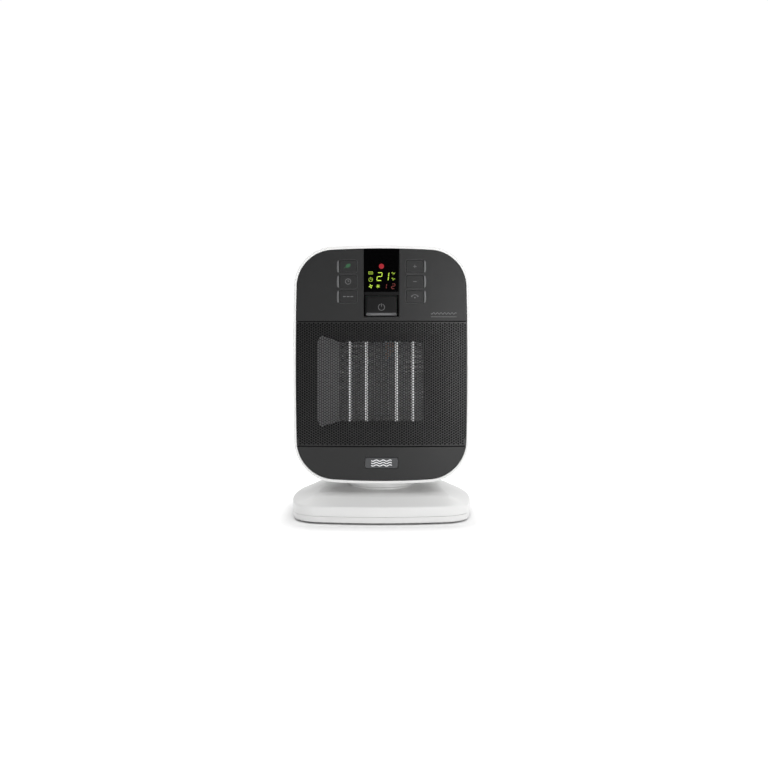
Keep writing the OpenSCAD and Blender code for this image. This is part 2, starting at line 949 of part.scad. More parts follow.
// Edges of the five fin columns on one side, [inner, outer]
fin_columns = [
    [plate_t / 2, plate_half[0] - plate_t / 2],
    [plate_half[0] + plate_t / 2, bar_x[0] - bar_w / 2],
    [bar_x[0] + bar_w / 2, plate_half[1] - plate_t / 2],
    [plate_half[1] + plate_t / 2, bar_x[1] - bar_w / 2],
    [bar_x[1] + bar_w / 2, heater_half_w - plate_t]
];
fin_gap = 0.15;

// One folded strip, drawn in X and Z. Its width across, w, is measured along X.
module fin_fold(x0, x1, pitch, w) {
    z0 = axis_z - fin_h / 2 + 0.3;
    n = floor((fin_h - 0.6) / pitch * 2);
    left = [for (i = [0:n]) [i % 2 == 0 ? x0 : x1 - w, z0 + i * pitch / 2]];
    polygon(concat(left, [for (i = [n:-1:0]) left[i] + [w, 0]]));
}

module heater_fins() {
    color(silver) {
        for (s = [-1, 1], c = fin_columns) {
            edges = s * (c + fin_gap * [1, -1]);
            along_y(fin_y0 + 0.5, fin_y1 - 0.5)
                fin_fold(min(edges), max(edges), 5, 1.2);
        }
        for (x = plate_x)
            block([x - plate_t / 2, fin_y0, axis_z - fin_h / 2],
                [x + plate_t / 2, fin_y1, axis_z + fin_h / 2]);
    }
}

module ptc_bars() {
    half = fin_h / 2 + bar_over;
    color([0.82, 0.83, 0.84])
        mirrored_x()
            for (x = bar_x)
                block([x - bar_w / 2 + 0.05, fin_y0, axis_z - half],
                    [x + bar_w / 2 - 0.05, fin_y1, axis_z + half]);
}

module heater_caps() {
    half_w = heater_half_w + 2;
    color(black)
        difference() {
            for (s = [-1, 1])
                block([-half_w, fin_y0 - 1.5, axis_z + s * (fin_h / 2 + cap_h / 2 + 0.1) - cap_h / 2],
                    [half_w, fin_y1 + 1.5, axis_z + s * (fin_h / 2 + cap_h / 2 + 0.1) + cap_h / 2]);
            for (sx = [-1, 1], x = bar_x)
                block([sx * x - bar_w / 2 - 0.1, fin_y0 - 0.1, 0],
                    [sx * x + bar_w / 2 + 0.1, fin_y1 + 0.1, far * 2]);
        }
}

module heater_terminals() {
    z0 = axis_z + fin_h / 2 + bar_over;
    color([0.8, 0.65, 0.3])
        mirrored_x()
            for (x = bar_x)
                block([x - 0.4, -21, z0], [x + 0.4, -15, z0 + 12]);
}

module thermostat() {
    z0 = axis_z + fin_h / 2 + cap_h + 0.1;
    color(silver) {
        rod_z(0, -18, 8, z0, z0 + 4);
        rod_z(0, -18, 6, z0 + 3.5, z0 + 8);
        mirrored_x() block([3, -19.5, z0 + 7], [3.8, -16.5, z0 + 14]);
    }
}

module thermal_fuse() {
    color([0.85, 0.8, 0.7])
        translate([-33, -18, axis_z + fin_h / 2 + cap_h + 2.2])
            rotate([0, 90, 0])
                cylinder(r = 2, h = 12);
}

module fan_shroud() {
    ear_z = duct_post_dz;
    color(charcoal)
        difference() {
            union() {
                block([-62, shroud_y0, axis_z - 60], [62, shroud_y0 + 2.4, axis_z + 60]);
                for (s = [-1, 1])
                    block([-86, shroud_y0, axis_z + s * ear_z - 6],
                        [86, shroud_y0 + 2.4, axis_z + s * ear_z + 6]);
                rod_y(0, axis_z, shroud_r + 2.5, shroud_y0, shroud_y1);
            }
            difference() {
                rod_y(0, axis_z, shroud_r, shroud_y0 - 1, shroud_y1 + 1);
                block([-70, shroud_y1 - spider_t, axis_z - 4], [70, shroud_y1, axis_z + 4]);
                block([-4, shroud_y1 - spider_t, axis_z - 70], [4, shroud_y1, axis_z + 70]);
                rod_y(0, axis_z, 14, shroud_y1 - spider_t, shroud_y1);
            }
            rod_y(0, axis_z, 7, 0, 30);
            for (x = [-bolt_x, bolt_x])
                rod_y(x, axis_z, 1.7, 0, 30);
            for (sx = [-1, 1], s = [-1, 1])
                rod_y(sx * duct_post_x, axis_z + s * ear_z, 1.8, -20, 10);
        }
}

module motor_stator() {
    color([0.45, 0.46, 0.48])
        along_y(stator_y0, stator_y1)
            translate([0, axis_z])
                difference() {
                    translate([-28, -24]) square([56, 64]);
                    circle(r = rotor_r + 0.4);
                    translate([-18, 17]) square([36, 12]);
                    for (x = [-bolt_x, bolt_x])
                        translate([x, 0]) circle(r = 1.7);
                }
}

module motor_coil() {
    color([0.7, 0.42, 0.2])
        difference() {
            block([-15, stator_y0 - 5, axis_z + 23.5], [15, stator_y1 + 5, axis_z + 45.5]);
            block([-20, stator_y0 - 0.1, axis_z + 28.9], [20, stator_y1 + 0.1, axis_z + 40.1]);
        }
}

module motor_bracket(s, y) {
    boss = 6;
    difference() {
        union() {
            for (sx = [-1, 1])
                rod_y(sx * bolt_x, axis_z, 4, min(y, y + s * 5.8), max(y, y + s * 5.8));
            block([-24, min(y + s * 3.3, y + s * 5.8), axis_z - 6],
                [24, max(y + s * 3.3, y + s * 5.8), axis_z + 6]);
            rod_y(0, axis_z, boss, min(y + s * 1.6, y + s * 6.5), max(y + s * 1.6, y + s * 6.5));
        }
        rod_y(0, axis_z, shaft_r + run_gap, y - 20, y + 20);
        for (x = [-bolt_x, bolt_x])
            rod_y(x, axis_z, 1.7, y - 20, y + 20);
    }
}

module motor_brackets() {
    color(steel) {
        motor_bracket(-1, stator_y0);
        motor_bracket(1, stator_y1);
    }
}

module motor_bolts() {
    color(steel)
        for (x = [-bolt_x, bolt_x])
            translate([x, stator_y1 + 5.8, axis_z])
                rotate([90, 0, 0])
                    screw(1.5, 2.8, 1.8, stator_y1 + 5.8 - (shroud_y1 - spider_t));
}

module motor_rotor() {
    color(steel)
        difference() {
            rod_y(0, axis_z, rotor_r, stator_y0 + 2, stator_y1 - 2);
            rod_y(0, axis_z, shaft_r, 0, 60);
        }
}

module motor_shaft() {
    color(silver)
        rod_y(0, axis_z, shaft_r, -1.5, stator_y1 + 7);
}

module fan_impeller() {
    hub_r = 15;
    hub_y = [-3, 16];
    color([0.25, 0.25, 0.27])
        difference() {
            union() {
                difference() {
                    rod_y(0, axis_z, hub_r, hub_y[0], hub_y[1]);
                    rod_y(0, axis_z, hub_r - 2, hub_y[0] + 2.5, hub_y[1] + 1);
                }
                rod_y(0, axis_z, 4.5, hub_y[0] + 1, hub_y[1]);
                intersection() {
                    rod_y(0, axis_z, fan_r, -4, 17.5);
                    translate([0, 6.5, axis_z])
                        for (k = [0:blades - 1])
                            rotate([0, k * 360 / blades, 0])
                                translate([hub_r - 1, 0, 0])
                                    rotate([38, 0, 0])
                                        translate([0, -0.8, -12])
                                            cube([60, 1.6, 24]);
                }
            }
            rod_y(0, axis_z, shaft_r, -1.5, 30);
        }
}

// ---------- electronics and swing drive ----------

module power_board() {
    color(board_green)
        difference() {
            block(power_board_low, power_board_high);
            for (x = power_board_x, y = power_board_y)
                rod_z(x, y, 1.6, 50, 60);
        }
}

module board_parts() {
    z0 = power_board_high[2];
    color([0.15, 0.3, 0.6]) {
        for (y = [-36, -20])
            block([-68, y, z0], [-48, y + 13, z0 + 15]);
        rod_z(-57, 1, 6, z0, z0 + 20);
    }
}

module swing_bracket() {
    color(steel)
        difference() {
            union() {
                intersection() {
                    rod_z(0, 0, 44, bracket_z[0], bracket_z[1]);
                    block([-8, -50, 0], [50, 50, 90]);
                }
                for (a = leg_angles)
                    rotate([0, 0, a])
                        rod_z(leg_r, 0, 2, collar_z1, bracket_z[0] + 0.5);
            }
            rod_z(0, 0, 16, 50, 70);
            rod_z(pinion_x, 0, 4.5, 50, 70);
        }
}

module swing_motor() {
    color(silver)
        difference() {
            union() {
                rod_z(pinion_x, 0, 24, bracket_z[1], bracket_z[1] + 18);
                block([pinion_x + 15, -8, bracket_z[1]], [pinion_x + 30, 8, bracket_z[1] + 12]);
            }
            rod_z(pinion_x, 0, 2.5 + run_gap, 50, bracket_z[1] + 10);
        }
}

// A lead along hand-placed points
module lead(points, r) {
    for (i = [0:len(points) - 2]) {
        a = points[i];
        d = points[i + 1] - a;
        translate(a)
            rotate([0, acos(d[2] / norm(d)), atan2(d[1], d[0])])
                cylinder(r = r, h = norm(d), $fn = 24);
    }
    for (i = [1:len(points) - 2])
        translate(points[i]) sphere(r = r + 0.1, $fn = 24);
}

module inner_leads() {
    board_z = power_board_high[2] + 1.2;
    tab_z = axis_z + fin_h / 2 + bar_over + 12;
    color([0.75, 0.1, 0.1]) {
        lead([[-70.5, -30, board_z], [-91, -30, 80], [-91, -30, 226],
            [-bar_x[1], -18, 226], [-bar_x[1], -18, tab_z]], 1.3);
        lead([[-70.5, -22, board_z], [-91, -22, 80], [-91, -22, 231],
            [-bar_x[0], -18, 231], [-bar_x[0], -18, tab_z]], 1.3);
        lead([[-70.5, -40, board_z], [-91, -40, 80], [-91, -40, 236],
            [-50, -40, 244], [-50, board_y + board_t, 244]], 1.3);
    }
}

module panel_screws() {
    color(steel) {
        for (sx = [-1, 1], z = board_post_z)
            translate([sx * board_post[0], board_y + board_t, z])
                rotate([90, 0, 0])
                    screw(1, 2.2, 1.4, 6);
        for (sx = [-1, 1], sz = [-1, 1])
            translate([sx * duct_post_x, shroud_y0 + 2.4, axis_z + sz * duct_post_dz])
                rotate([90, 0, 0])
                    screw(1.4, 2.6, 1.6, 12);
        for (x = power_board_x, y = power_board_y)
            translate([x, y, power_board_high[2]])
                rotate([180, 0, 0])
                    screw(1, 2.2, 1.4, 6);
    }
}

base_tray();
base_cover();
rubber_feet();
base_screws();
swivel_post();
thrust_washer();
retaining_washer();
swing_gear();
post_clip();
tip_switch();
cord_inlet();
tip_plunger();
front_housing();
rear_housing();
neck_ring();
upper_fascia();
lower_fascia();
grille_mesh();
display_window();
accent_bars();
badge();
display_board();
display_module();
status_led();
tact_switches();
air_duct();
ptc_bars();
heater_fins();
heater_caps();
heater_terminals();
thermostat();
thermal_fuse();
fan_shroud();
motor_stator();
motor_coil();
motor_brackets();
motor_bolts();
power_board();
board_parts();
swing_bracket();
swing_motor();
inner_leads();
housing_screws();
panel_screws();
fan_impeller();
motor_shaft();
motor_rotor();
drive_pinion();
power_button();
power_trim();
eco_button();
timer_button();
mode_button();
plus_button();
minus_button();
swing_button();
filter_frame();
filter_mesh();
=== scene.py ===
import json
import math

import bmesh
import bpy
import numpy as np
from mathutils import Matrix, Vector
from mathutils.geometry import delaunay_2d_cdt


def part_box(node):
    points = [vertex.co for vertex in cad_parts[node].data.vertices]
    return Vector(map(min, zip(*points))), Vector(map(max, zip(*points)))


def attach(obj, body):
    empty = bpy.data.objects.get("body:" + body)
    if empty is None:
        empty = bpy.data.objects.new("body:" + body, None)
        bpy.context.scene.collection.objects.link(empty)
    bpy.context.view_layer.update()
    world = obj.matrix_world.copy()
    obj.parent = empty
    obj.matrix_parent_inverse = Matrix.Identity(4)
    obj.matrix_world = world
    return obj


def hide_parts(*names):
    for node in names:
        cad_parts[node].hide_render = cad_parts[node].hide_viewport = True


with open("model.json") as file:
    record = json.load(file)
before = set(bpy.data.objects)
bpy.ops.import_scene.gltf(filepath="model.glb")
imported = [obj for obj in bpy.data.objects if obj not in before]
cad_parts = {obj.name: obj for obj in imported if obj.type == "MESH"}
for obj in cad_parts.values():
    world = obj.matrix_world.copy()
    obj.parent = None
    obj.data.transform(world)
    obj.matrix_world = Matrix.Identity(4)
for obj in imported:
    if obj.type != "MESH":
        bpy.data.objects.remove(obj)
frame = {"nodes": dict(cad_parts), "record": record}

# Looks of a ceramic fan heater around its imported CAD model. Metres, +Z up, front at -Y.
MM, TO_MM = 0.001, 1000.0
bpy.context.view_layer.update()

# ---------------------------------------------------------------- sizes from the frame
shell_lo, shell_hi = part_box("front_housing")
rear_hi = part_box("rear_housing")[1]
low_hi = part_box("lower_fascia")[1]
high_lo, high_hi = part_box("upper_fascia")
mesh_lo, mesh_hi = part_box("grille_mesh")
window_lo, window_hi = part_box("display_window")
power_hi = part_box("power_button")[1]
trim_lo, trim_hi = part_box("power_trim")
badge_lo, badge_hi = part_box("badge")
base_lo, base_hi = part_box("base_cover")
neck_lo, neck_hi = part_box("neck_ring")
fins_lo, fins_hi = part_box("heater_fins")
filter_lo, filter_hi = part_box("filter_frame")

HALF_W = shell_hi.x
HEAD_Z0, HEAD_Z1 = shell_lo.z, shell_hi.z
HEAD_MID = (HEAD_Z0 + HEAD_Z1) / 2
MESH_MID = (mesh_lo.z + mesh_hi.z) / 2
FILTER_MID = (filter_lo.z + filter_hi.z) / 2
FRONT = shell_lo.y
SPLIT = shell_hi.y
BACK = rear_hi.y
RIM = HALF_W - high_hi.x
# How much further the dark front reaches at the sides than the rim's width leaves it
SIDE_TRIM = 0.7 * MM
BASE_X, BASE_Y = base_hi.x, base_hi.y

# Radii that a box can't give, as in the design
BOW = 800 * MM
TOP_CORNER, LOW_CORNER = 45 * MM, 47 * MM
TOP_BOW, LOW_BOW, SIDE_BOW = 1.16, 0.98, 3.5
BACK_CORNER, DOME_CORNER = 45 * MM, 49 * MM
DOME_X, DOME_Z = 1.8, 3.0
BASE_CORNER, BASE_BOW, BASE_SIDE_BOW = 35 * MM, 360 * MM, 250 * MM


# ---------------------------------------------------------------- outlines
def arc(cx, cy, r, a0, a1, n):
    """n points of an arc, without its last point. Angles in radians."""
    a = np.linspace(a0, a1, n, endpoint=False)
    return np.stack([cx + r * np.cos(a), cy + r * np.sin(a)], 1)


def bowed(half_w, v0, v1, r0, r1, e0, e1, side, n_edge=10, n_corner=24):
    """A rounded rectangle with bowed edges, anticlockwise.
    Its low corners have radius r0 and its low edge e0. The high ones have r1 and e1."""
    mid, h = (v0 + v1) / 2, (v1 - v0) / 2

    def corner(r, e):
        cx, cy = half_w - r, h - r
        for _ in range(8):
            cx, cy = (half_w - side + math.sqrt((side - r) ** 2 - cy ** 2),
                      h - e + math.sqrt((e - r) ** 2 - cx ** 2))
        return cx, cy, math.atan2(cy, cx - half_w + side), math.atan2(cy - h + e, cx)

    x0, y0, s0, t0 = corner(r0, e0)
    x1, y1, s1, t1 = corner(r1, e1)
    quarter = math.pi / 2
    half = np.concatenate([
        arc(0, v0 + e0, e0, -quarter, -t0, n_edge),
        arc(x0, mid - y0, r0, -t0, -s0, n_corner),
        arc(half_w - side, mid, side, -s0, s1, n_edge),
        arc(x1, mid + y1, r1, s1, t1, n_corner),
        arc(0, v1 - e1, e1, t1, quarter, n_edge),
        [[0, v1]]])
    left = half[1:-1][::-1] * [-1, 1]
    return np.concatenate([half, left])


def head_loop(inset):
    """Outline of the head. An inset outline is a little wider, so that the rim is thinner at the sides."""
    loop = bowed(HALF_W - inset, HEAD_Z0 + inset, HEAD_Z1 - inset, LOW_CORNER - inset, TOP_CORNER - inset,
                 LOW_BOW - inset, TOP_BOW - inset, SIDE_BOW - inset)
    return loop * [1 + SIDE_TRIM / RIM * inset / (HALF_W - inset), 1]


def base_loop(inset):
    half_y, corner, bow = BASE_Y - inset, BASE_CORNER - inset, BASE_BOW - inset
    return bowed(BASE_X - inset, -half_y, half_y, corner, corner, bow, bow, BASE_SIDE_BOW - inset)


def rounded(points, n=6):
    """A closed outline from (x, y, corner radius) points given anticlockwise."""
    out = []
    count = len(points)
    for i, (x, y, r) in enumerate(points):
        p = np.array([x, y])
        if r <= 0:
            out.append([p])
            continue
        a = np.array(points[i - 1][:2]) - p
        b = np.array(points[(i + 1) % count][:2]) - p
        a, b = a / np.linalg.norm(a), b / np.linalg.norm(b)
        half = math.acos(max(-1, min(1, float(a @ b)))) / 2
        centre = p + (a + b) / np.linalg.norm(a + b) * r / math.sin(half)
        start, end = p + a * r / math.tan(half) - centre, p + b * r / math.tan(half) - centre
        a0, a1 = math.atan2(start[1], start[0]), math.atan2(end[1], end[0])
        turn = (a1 - a0 + math.pi) % (2 * math.pi) - math.pi
        angles = a0 + turn * np.linspace(0, 1, n)
        out.append(centre + r * np.stack([np.cos(angles), np.sin(angles)], 1))
    return np.concatenate(out)


def rect(cx, cy, w, h, r, n=6):
    x0, x1, y0, y1 = cx - w / 2, cx + w / 2, cy - h / 2, cy + h / 2
    return rounded([(x0, y0, r), (x1, y0, r), (x1, y1, r), (x0, y1, r)], n)


def box_rect(lo, hi, grow, r):
    """A rounded rectangle around a box as seen from the front, larger by grow."""
    return rect((lo.x + hi.x) / 2, (lo.z + hi.z) / 2, hi.x - lo.x + grow, hi.z - lo.z + grow, r)


def circle(cx, cy, r, n=32):
    return arc(cx, cy, r, 0, 2 * math.pi, n)


def stroke(points, width):
    """Outline of a line of even width through points."""
    p = np.array(points, float)
    d = np.diff(p, axis=0)
    d /= np.linalg.norm(d, axis=1)[:, None]
    normal = np.stack([-d[:, 1], d[:, 0]], 1)
    n0, n1 = np.vstack([normal[:1], normal]), np.vstack([normal, normal[-1:]])
    miter = (n0 + n1) / (1 + np.sum(n0 * n1, 1))[:, None]
    return np.vstack([p - miter * width / 2, (p + miter * width / 2)[::-1]])


def dense(loop, step):
    """The outline with points added along the edges that are longer than step."""
    out = []
    for p, q in zip(loop, np.roll(loop, -1, 0)):
        n = max(1, int(math.ceil(float(np.linalg.norm(q - p)) / step)))
        out.append(p + (q - p) * np.arange(n)[:, None] / n)
    return np.concatenate(out)


def at_y(loop, y):
    """The points of a flat outline upright in space, at depth y."""
    return np.stack([loop[:, 0], np.broadcast_to(y, len(loop)), loop[:, 1]], 1)


def at_z(loop, z):
    """The points of a flat outline lying in space, at height z."""
    return np.column_stack([loop, np.broadcast_to(z, len(loop))])


def upright(y, sign=1):
    """Where the points of a flat upright plate go, whose face is at depth y."""
    def place(u, v, depth):
        return np.stack([u, np.full(len(u), y + sign * depth), v], 1)
    return place


def area(loop):
    x, y = loop[:, 0], loop[:, 1]
    return float(np.sum(x * np.roll(y, -1) - y * np.roll(x, -1)) / 2)


def inwards(loop, d):
    """The outline moved by d towards the material on its left."""
    e0 = loop - np.roll(loop, 1, 0)
    e1 = np.roll(e0, -1, 0)
    e0, e1 = (e / np.maximum(np.linalg.norm(e, axis=1), 1e-12)[:, None] for e in (e0, e1))
    n0, n1 = np.stack([-e0[:, 1], e0[:, 0]], 1), np.stack([-e1[:, 1], e1[:, 0]], 1)
    return loop + d * (n0 + n1) / np.maximum(1 + np.sum(n0 * n1, 1), 0.2)[:, None]


def inside(points, loop):
    x, y = points[:, 0][:, None], points[:, 1][:, None]
    x0, y0 = loop[:, 0][None], loop[:, 1][None]
    x1, y1 = np.roll(x0, -1, 1), np.roll(y0, -1, 1)
    with np.errstate(divide="ignore", invalid="ignore"):
        hit = ((y0 > y) != (y1 > y)) & (x < (x1 - x0) * (y - y0) / (y1 - y0) + x0)
    return hit.sum(1) % 2 == 1


def clip(loop, axis, limit, keep_above):
    """The part of a convex outline on one side of a line along an axis."""
    sign = 1 if keep_above else -1
    out = []
    for p, q in zip(loop, np.roll(loop, -1, 0)):
        a, b = sign * (p[axis] - limit), sign * (q[axis] - limit)
        if a >= 0:
            out.append(p)
        if a * b < 0:
            out.append(p + (q - p) * a / (a - b))
    return np.array(out)


# ---------------------------------------------------------------- meshes
def fill(loops, spacing):
    """Triangles between an outline and its holes, and their points. The outlines' own points come first."""
    points = np.concatenate(loops)
    if spacing:
        lo, hi = loops[0].min(0), loops[0].max(0)
        nx, ny = np.maximum(((hi - lo) / spacing).astype(int), 1)
        gx, gy = np.meshgrid(np.linspace(lo[0], hi[0], nx + 1), np.linspace(lo[1], hi[1], ny + 1))
        grid = np.stack([gx.ravel(), gy.ravel()], 1)
        keep = inside(grid, loops[0])
        for hole in loops[1:]:
            keep &= ~inside(grid, hole)
        for loop in loops:
            fine = np.concatenate([loop + (np.roll(loop, -1, 0) - loop) * t for t in (0, 0.25, 0.5, 0.75)])
            for part in np.array_split(fine, max(1, len(fine) // 400)):
                keep &= ((grid[:, None] - part[None]) ** 2).sum(2).min(1) > (0.45 * spacing) ** 2
        points = np.concatenate([points, grid[keep]])
    edges, start = [], 0
    for loop in loops:
        n = len(loop)
        edges += [(start + i, start + (i + 1) % n) for i in range(n)]
        start += n
    _, _, flat_tris, sources, _, _ = delaunay_2d_cdt([Vector(p) for p in points * TO_MM], edges, [], 0, 1e-7)
    source = [o[0] if o else -1 for o in sources]
    tris = np.array([[source[i] for i in f] for f in flat_tris])
    tris = tris[(tris >= 0).all(1)]
    centre = points[tris].mean(1)
    keep = inside(centre, loops[0])
    for hole in loops[1:]:
        keep &= ~inside(centre, hole)
    return points, tris[keep]


def plate(loops, place, thickness, fillet=0.3 * MM, back_fillet=0.0, spacing=None, steps=3):
    """A plate with rounded edges. loops are the outline and its holes.
    place(u, v, depth) puts their points in space."""
    loops = [dense(np.array(loop, float), spacing or 6 * MM) for loop in loops]
    loops = [loop if (area(loop) > 0) == (i == 0) else loop[::-1] for i, loop in enumerate(loops)]
    angles = [math.pi / 2 * k / steps for k in range(steps + 1)]
    rings = [(fillet * 1.5, 0)]
    rings += [(fillet * (1 - math.sin(a)), fillet * (1 - math.cos(a))) for a in angles]
    if back_fillet > 0:
        rings += [(back_fillet * (1 - math.cos(a)), thickness - back_fillet * (1 - math.sin(a)))
                  for a in angles]
    else:
        rings.append((0, thickness))
    verts, faces, start = [], [], 0
    starts = []
    for loop in loops:
        n = len(loop)
        starts.append(start)
        for inset, depth in rings:
            moved = inwards(loop, inset) if inset > 0 else loop
            verts.append(place(moved[:, 0], moved[:, 1], depth))
        for k in range(len(rings) - 1):
            a, b = start + k * n, start + (k + 1) * n
            faces += [(a + i, b + i, b + (i + 1) % n, a + (i + 1) % n) for i in range(n)]
        start += n * len(rings)
    for k, depth, flip in ((0, 0.0, False), (len(rings) - 1, thickness, True)):
        moved = [inwards(loop, rings[k][0]) if rings[k][0] > 0 else loop for loop in loops]
        points, tris = fill(moved, spacing)
        index, n_edge = [], sum(len(loop) for loop in loops)
        for first, loop in zip(starts, loops):
            index += list(range(first + k * len(loop), first + (k + 1) * len(loop)))
        index += list(range(start, start + len(points) - n_edge))
        extra = points[n_edge:]
        if len(extra):
            verts.append(place(extra[:, 0], extra[:, 1], depth))
            start += len(extra)
        for t in tris:
            f = tuple(index[i] for i in t)
            faces.append(f[::-1] if flip else f)
    return np.concatenate(verts), faces


def quads(a, b, n):
    """Faces between two rings of n points whose first points are a and b."""
    return [(a + i, a + (i + 1) % n, b + (i + 1) % n, b + i) for i in range(n)]


def strip(rings, closed=False):
    """Quads between rings of points, each ring a closed loop. closed joins the last ring to the first."""
    n = len(rings[0])
    faces = []
    for k in range(len(rings) if closed else len(rings) - 1):
        faces += quads(k * n, (k + 1) % len(rings) * n, n)
    return np.concatenate(rings), faces


def bar(rows):
    """A bar through four rows of points, closed at its ends."""
    n = len(rows[0])
    faces = []
    for r in range(4):
        a, b = r * n, (r + 1) % 4 * n
        faces += [(a + i, a + i + 1, b + i + 1, b + i) for i in range(n - 1)]
    faces += [(0, n, 2 * n, 3 * n), (n - 1, 4 * n - 1, 3 * n - 1, 2 * n - 1)]
    return np.concatenate(rows), faces


def cap(verts, faces, loops, spacing, place):
    """Fills the last ring of a skin, except for holes. place gives the new points' places in space."""
    points, tris = fill(loops, spacing)
    n = len(loops[0])
    first = len(verts) - n
    faces += [tuple(first + i for i in t) for t in tris]
    return np.concatenate([verts, place(points[n:])])


def lathe(profile, n=96, cx=0.0, cy=0.0):
    """A solid turned about a vertical axis from (radius, height) points that form a closed section."""
    a = np.linspace(0, 2 * math.pi, n, endpoint=False)
    rings = [np.stack([cx + r * np.cos(a), cy + r * np.sin(a), np.full(n, z)], 1) for r, z in profile]
    return strip(rings, closed=True)


def joined(parts):
    verts, faces, start = [], [], 0
    for v, f in parts:
        verts.append(v)
        faces += [tuple(i + start for i in face) for face in f]
        start += len(v)
    return np.concatenate(verts), faces


def sharpen(mesh, angle):
    mesh.polygons.foreach_set("use_smooth", [True] * len(mesh.polygons))
    mesh.set_sharp_from_angle(angle=math.radians(angle))


PIECES = []
DENSE_MESH = 60000


def piece(name, geometry, material, body, slot, replaces=(), angle=32):
    """Makes an object from points and faces, gives it its material, and lets it ride on a CAD body."""
    verts, faces = geometry
    mesh = bpy.data.meshes.new(name)
    mesh.from_pydata([tuple(v) for v in verts], [], [tuple(int(i) for i in f) for f in faces])
    mesh.validate()
    obj = bpy.data.objects.new(name, mesh)
    bpy.context.scene.collection.objects.link(obj)
    PIECES.append(obj)
    facing_out(mesh)
    sharpen(mesh, angle)
    mesh.materials.append(material)
    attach(obj, body)
    if replaces:
        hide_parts(*replaces)
    return obj


def even_shading():
    """Lets large faces set the shading of the rounded edges beside them, except on the dense meshes."""
    for obj in PIECES:
        if len(obj.data.polygons) < DENSE_MESH:
            mod = obj.modifiers.new("shading", "WEIGHTED_NORMAL")
            mod.keep_sharp = True


def facing_out(mesh):
    bm = bmesh.new()
    bm.from_mesh(mesh)
    bmesh.ops.recalc_face_normals(bm, faces=bm.faces)
    bm.to_mesh(mesh)
    bm.free()


def thicken(obj, thickness):
    """Turns an open skin into a wall that grows inwards, and applies it."""
    mod = obj.modifiers.new("wall", "SOLIDIFY")
    mod.thickness = thickness
    mod.offset = -1
    graph = bpy.context.evaluated_depsgraph_get()
    done = bpy.data.meshes.new_from_object(obj.evaluated_get(graph))
    obj.modifiers.clear()
    obj.data = done


def wall_piece(name, geometry, thickness, body, replaced, angle):
    """A white piece made from an open skin."""
    obj = piece(name, geometry, WHITE, body, "white_shell", [replaced], angle)
    thicken(obj, thickness)
    sharpen(obj.data, angle)


# ---------------------------------------------------------------- materials
def link(tree, a, out, b, into):
    tree.links.new(a.outputs[out], b.inputs[into])


def set_inputs(node, values):
    for key, value in values.items():
        node.inputs[key].default_value = value


def new_node(tree, kind, values=None):
    """A shader node whose inputs have these values."""
    node = tree.nodes.new("ShaderNode" + kind)
    set_inputs(node, values or {})
    return node


def two_tones(tree, scale, detail, low, high, shader, place=None):
    """Slow changes between two colours. Returns their noise."""
    slow = new_node(tree, "TexNoise", {"Scale": scale, "Detail": detail})
    if place:
        link(tree, place, "Object", slow, "Vector")
    mix = tree.nodes.new("ShaderNodeMix")
    mix.data_type = "RGBA"
    set_inputs(mix, {6: (*low, 1), 7: (*high, 1)})
    link(tree, slow, "Fac", mix, 0)
    link(tree, mix, 2, shader, "Base Color")
    return slow


def material(name, color, roughness, metallic=0.0, grain=(900, 0.08), mottle=(14, 0.05), rough_spread=0.06,
             stripes=None, coat=0.0, specular=0.5, glow=0.0, sheen=0.0):
    """A shader with fine grain in its bump, and slow changes of colour and roughness.
    grain and mottle are (scale per metre, strength); stripes is (axis, scale, strength)."""
    mat = bpy.data.materials.new(name)
    mat.use_nodes = True
    tree = mat.node_tree
    shader = tree.nodes["Principled BSDF"]
    set_inputs(shader, {"Metallic": metallic, "Specular IOR Level": specular, "Coat Weight": coat,
                        "Coat Roughness": 0.06, "Sheen Weight": sheen})
    place = new_node(tree, "TexCoord")
    darker = [c * (1 - mottle[1]) for c in color]
    lighter = [min(1, c * (1 + mottle[1])) for c in color]
    slow = two_tones(tree, mottle[0], 3, darker, lighter, shader, place)

    spread = new_node(tree, "MapRange", {"To Min": max(0.02, roughness - rough_spread),
                                         "To Max": min(1, roughness + rough_spread)})
    link(tree, slow, "Fac", spread, "Value")
    link(tree, spread, "Result", shader, "Roughness")

    fine = new_node(tree, "TexNoise", {"Scale": grain[0], "Detail": 2})
    link(tree, place, "Object", fine, "Vector")
    top = new_node(tree, "Bump", {"Strength": grain[1], "Distance": 0.2 * MM})
    link(tree, fine, "Fac", top, "Height")
    if stripes:
        axis, scale, strength = stripes
        wave = new_node(tree, "TexWave", {"Scale": scale, "Distortion": 0.3})
        wave.bands_direction = axis
        link(tree, place, "Object", wave, "Vector")
        grained, top = top, new_node(tree, "Bump", {"Strength": strength, "Distance": 0.3 * MM})
        link(tree, wave, "Fac", top, "Height")
        link(tree, grained, "Normal", top, "Normal")
    link(tree, top, "Normal", shader, "Normal")
    if glow:
        set_inputs(shader, {"Emission Color": (*color, 1), "Emission Strength": glow})
    return mat


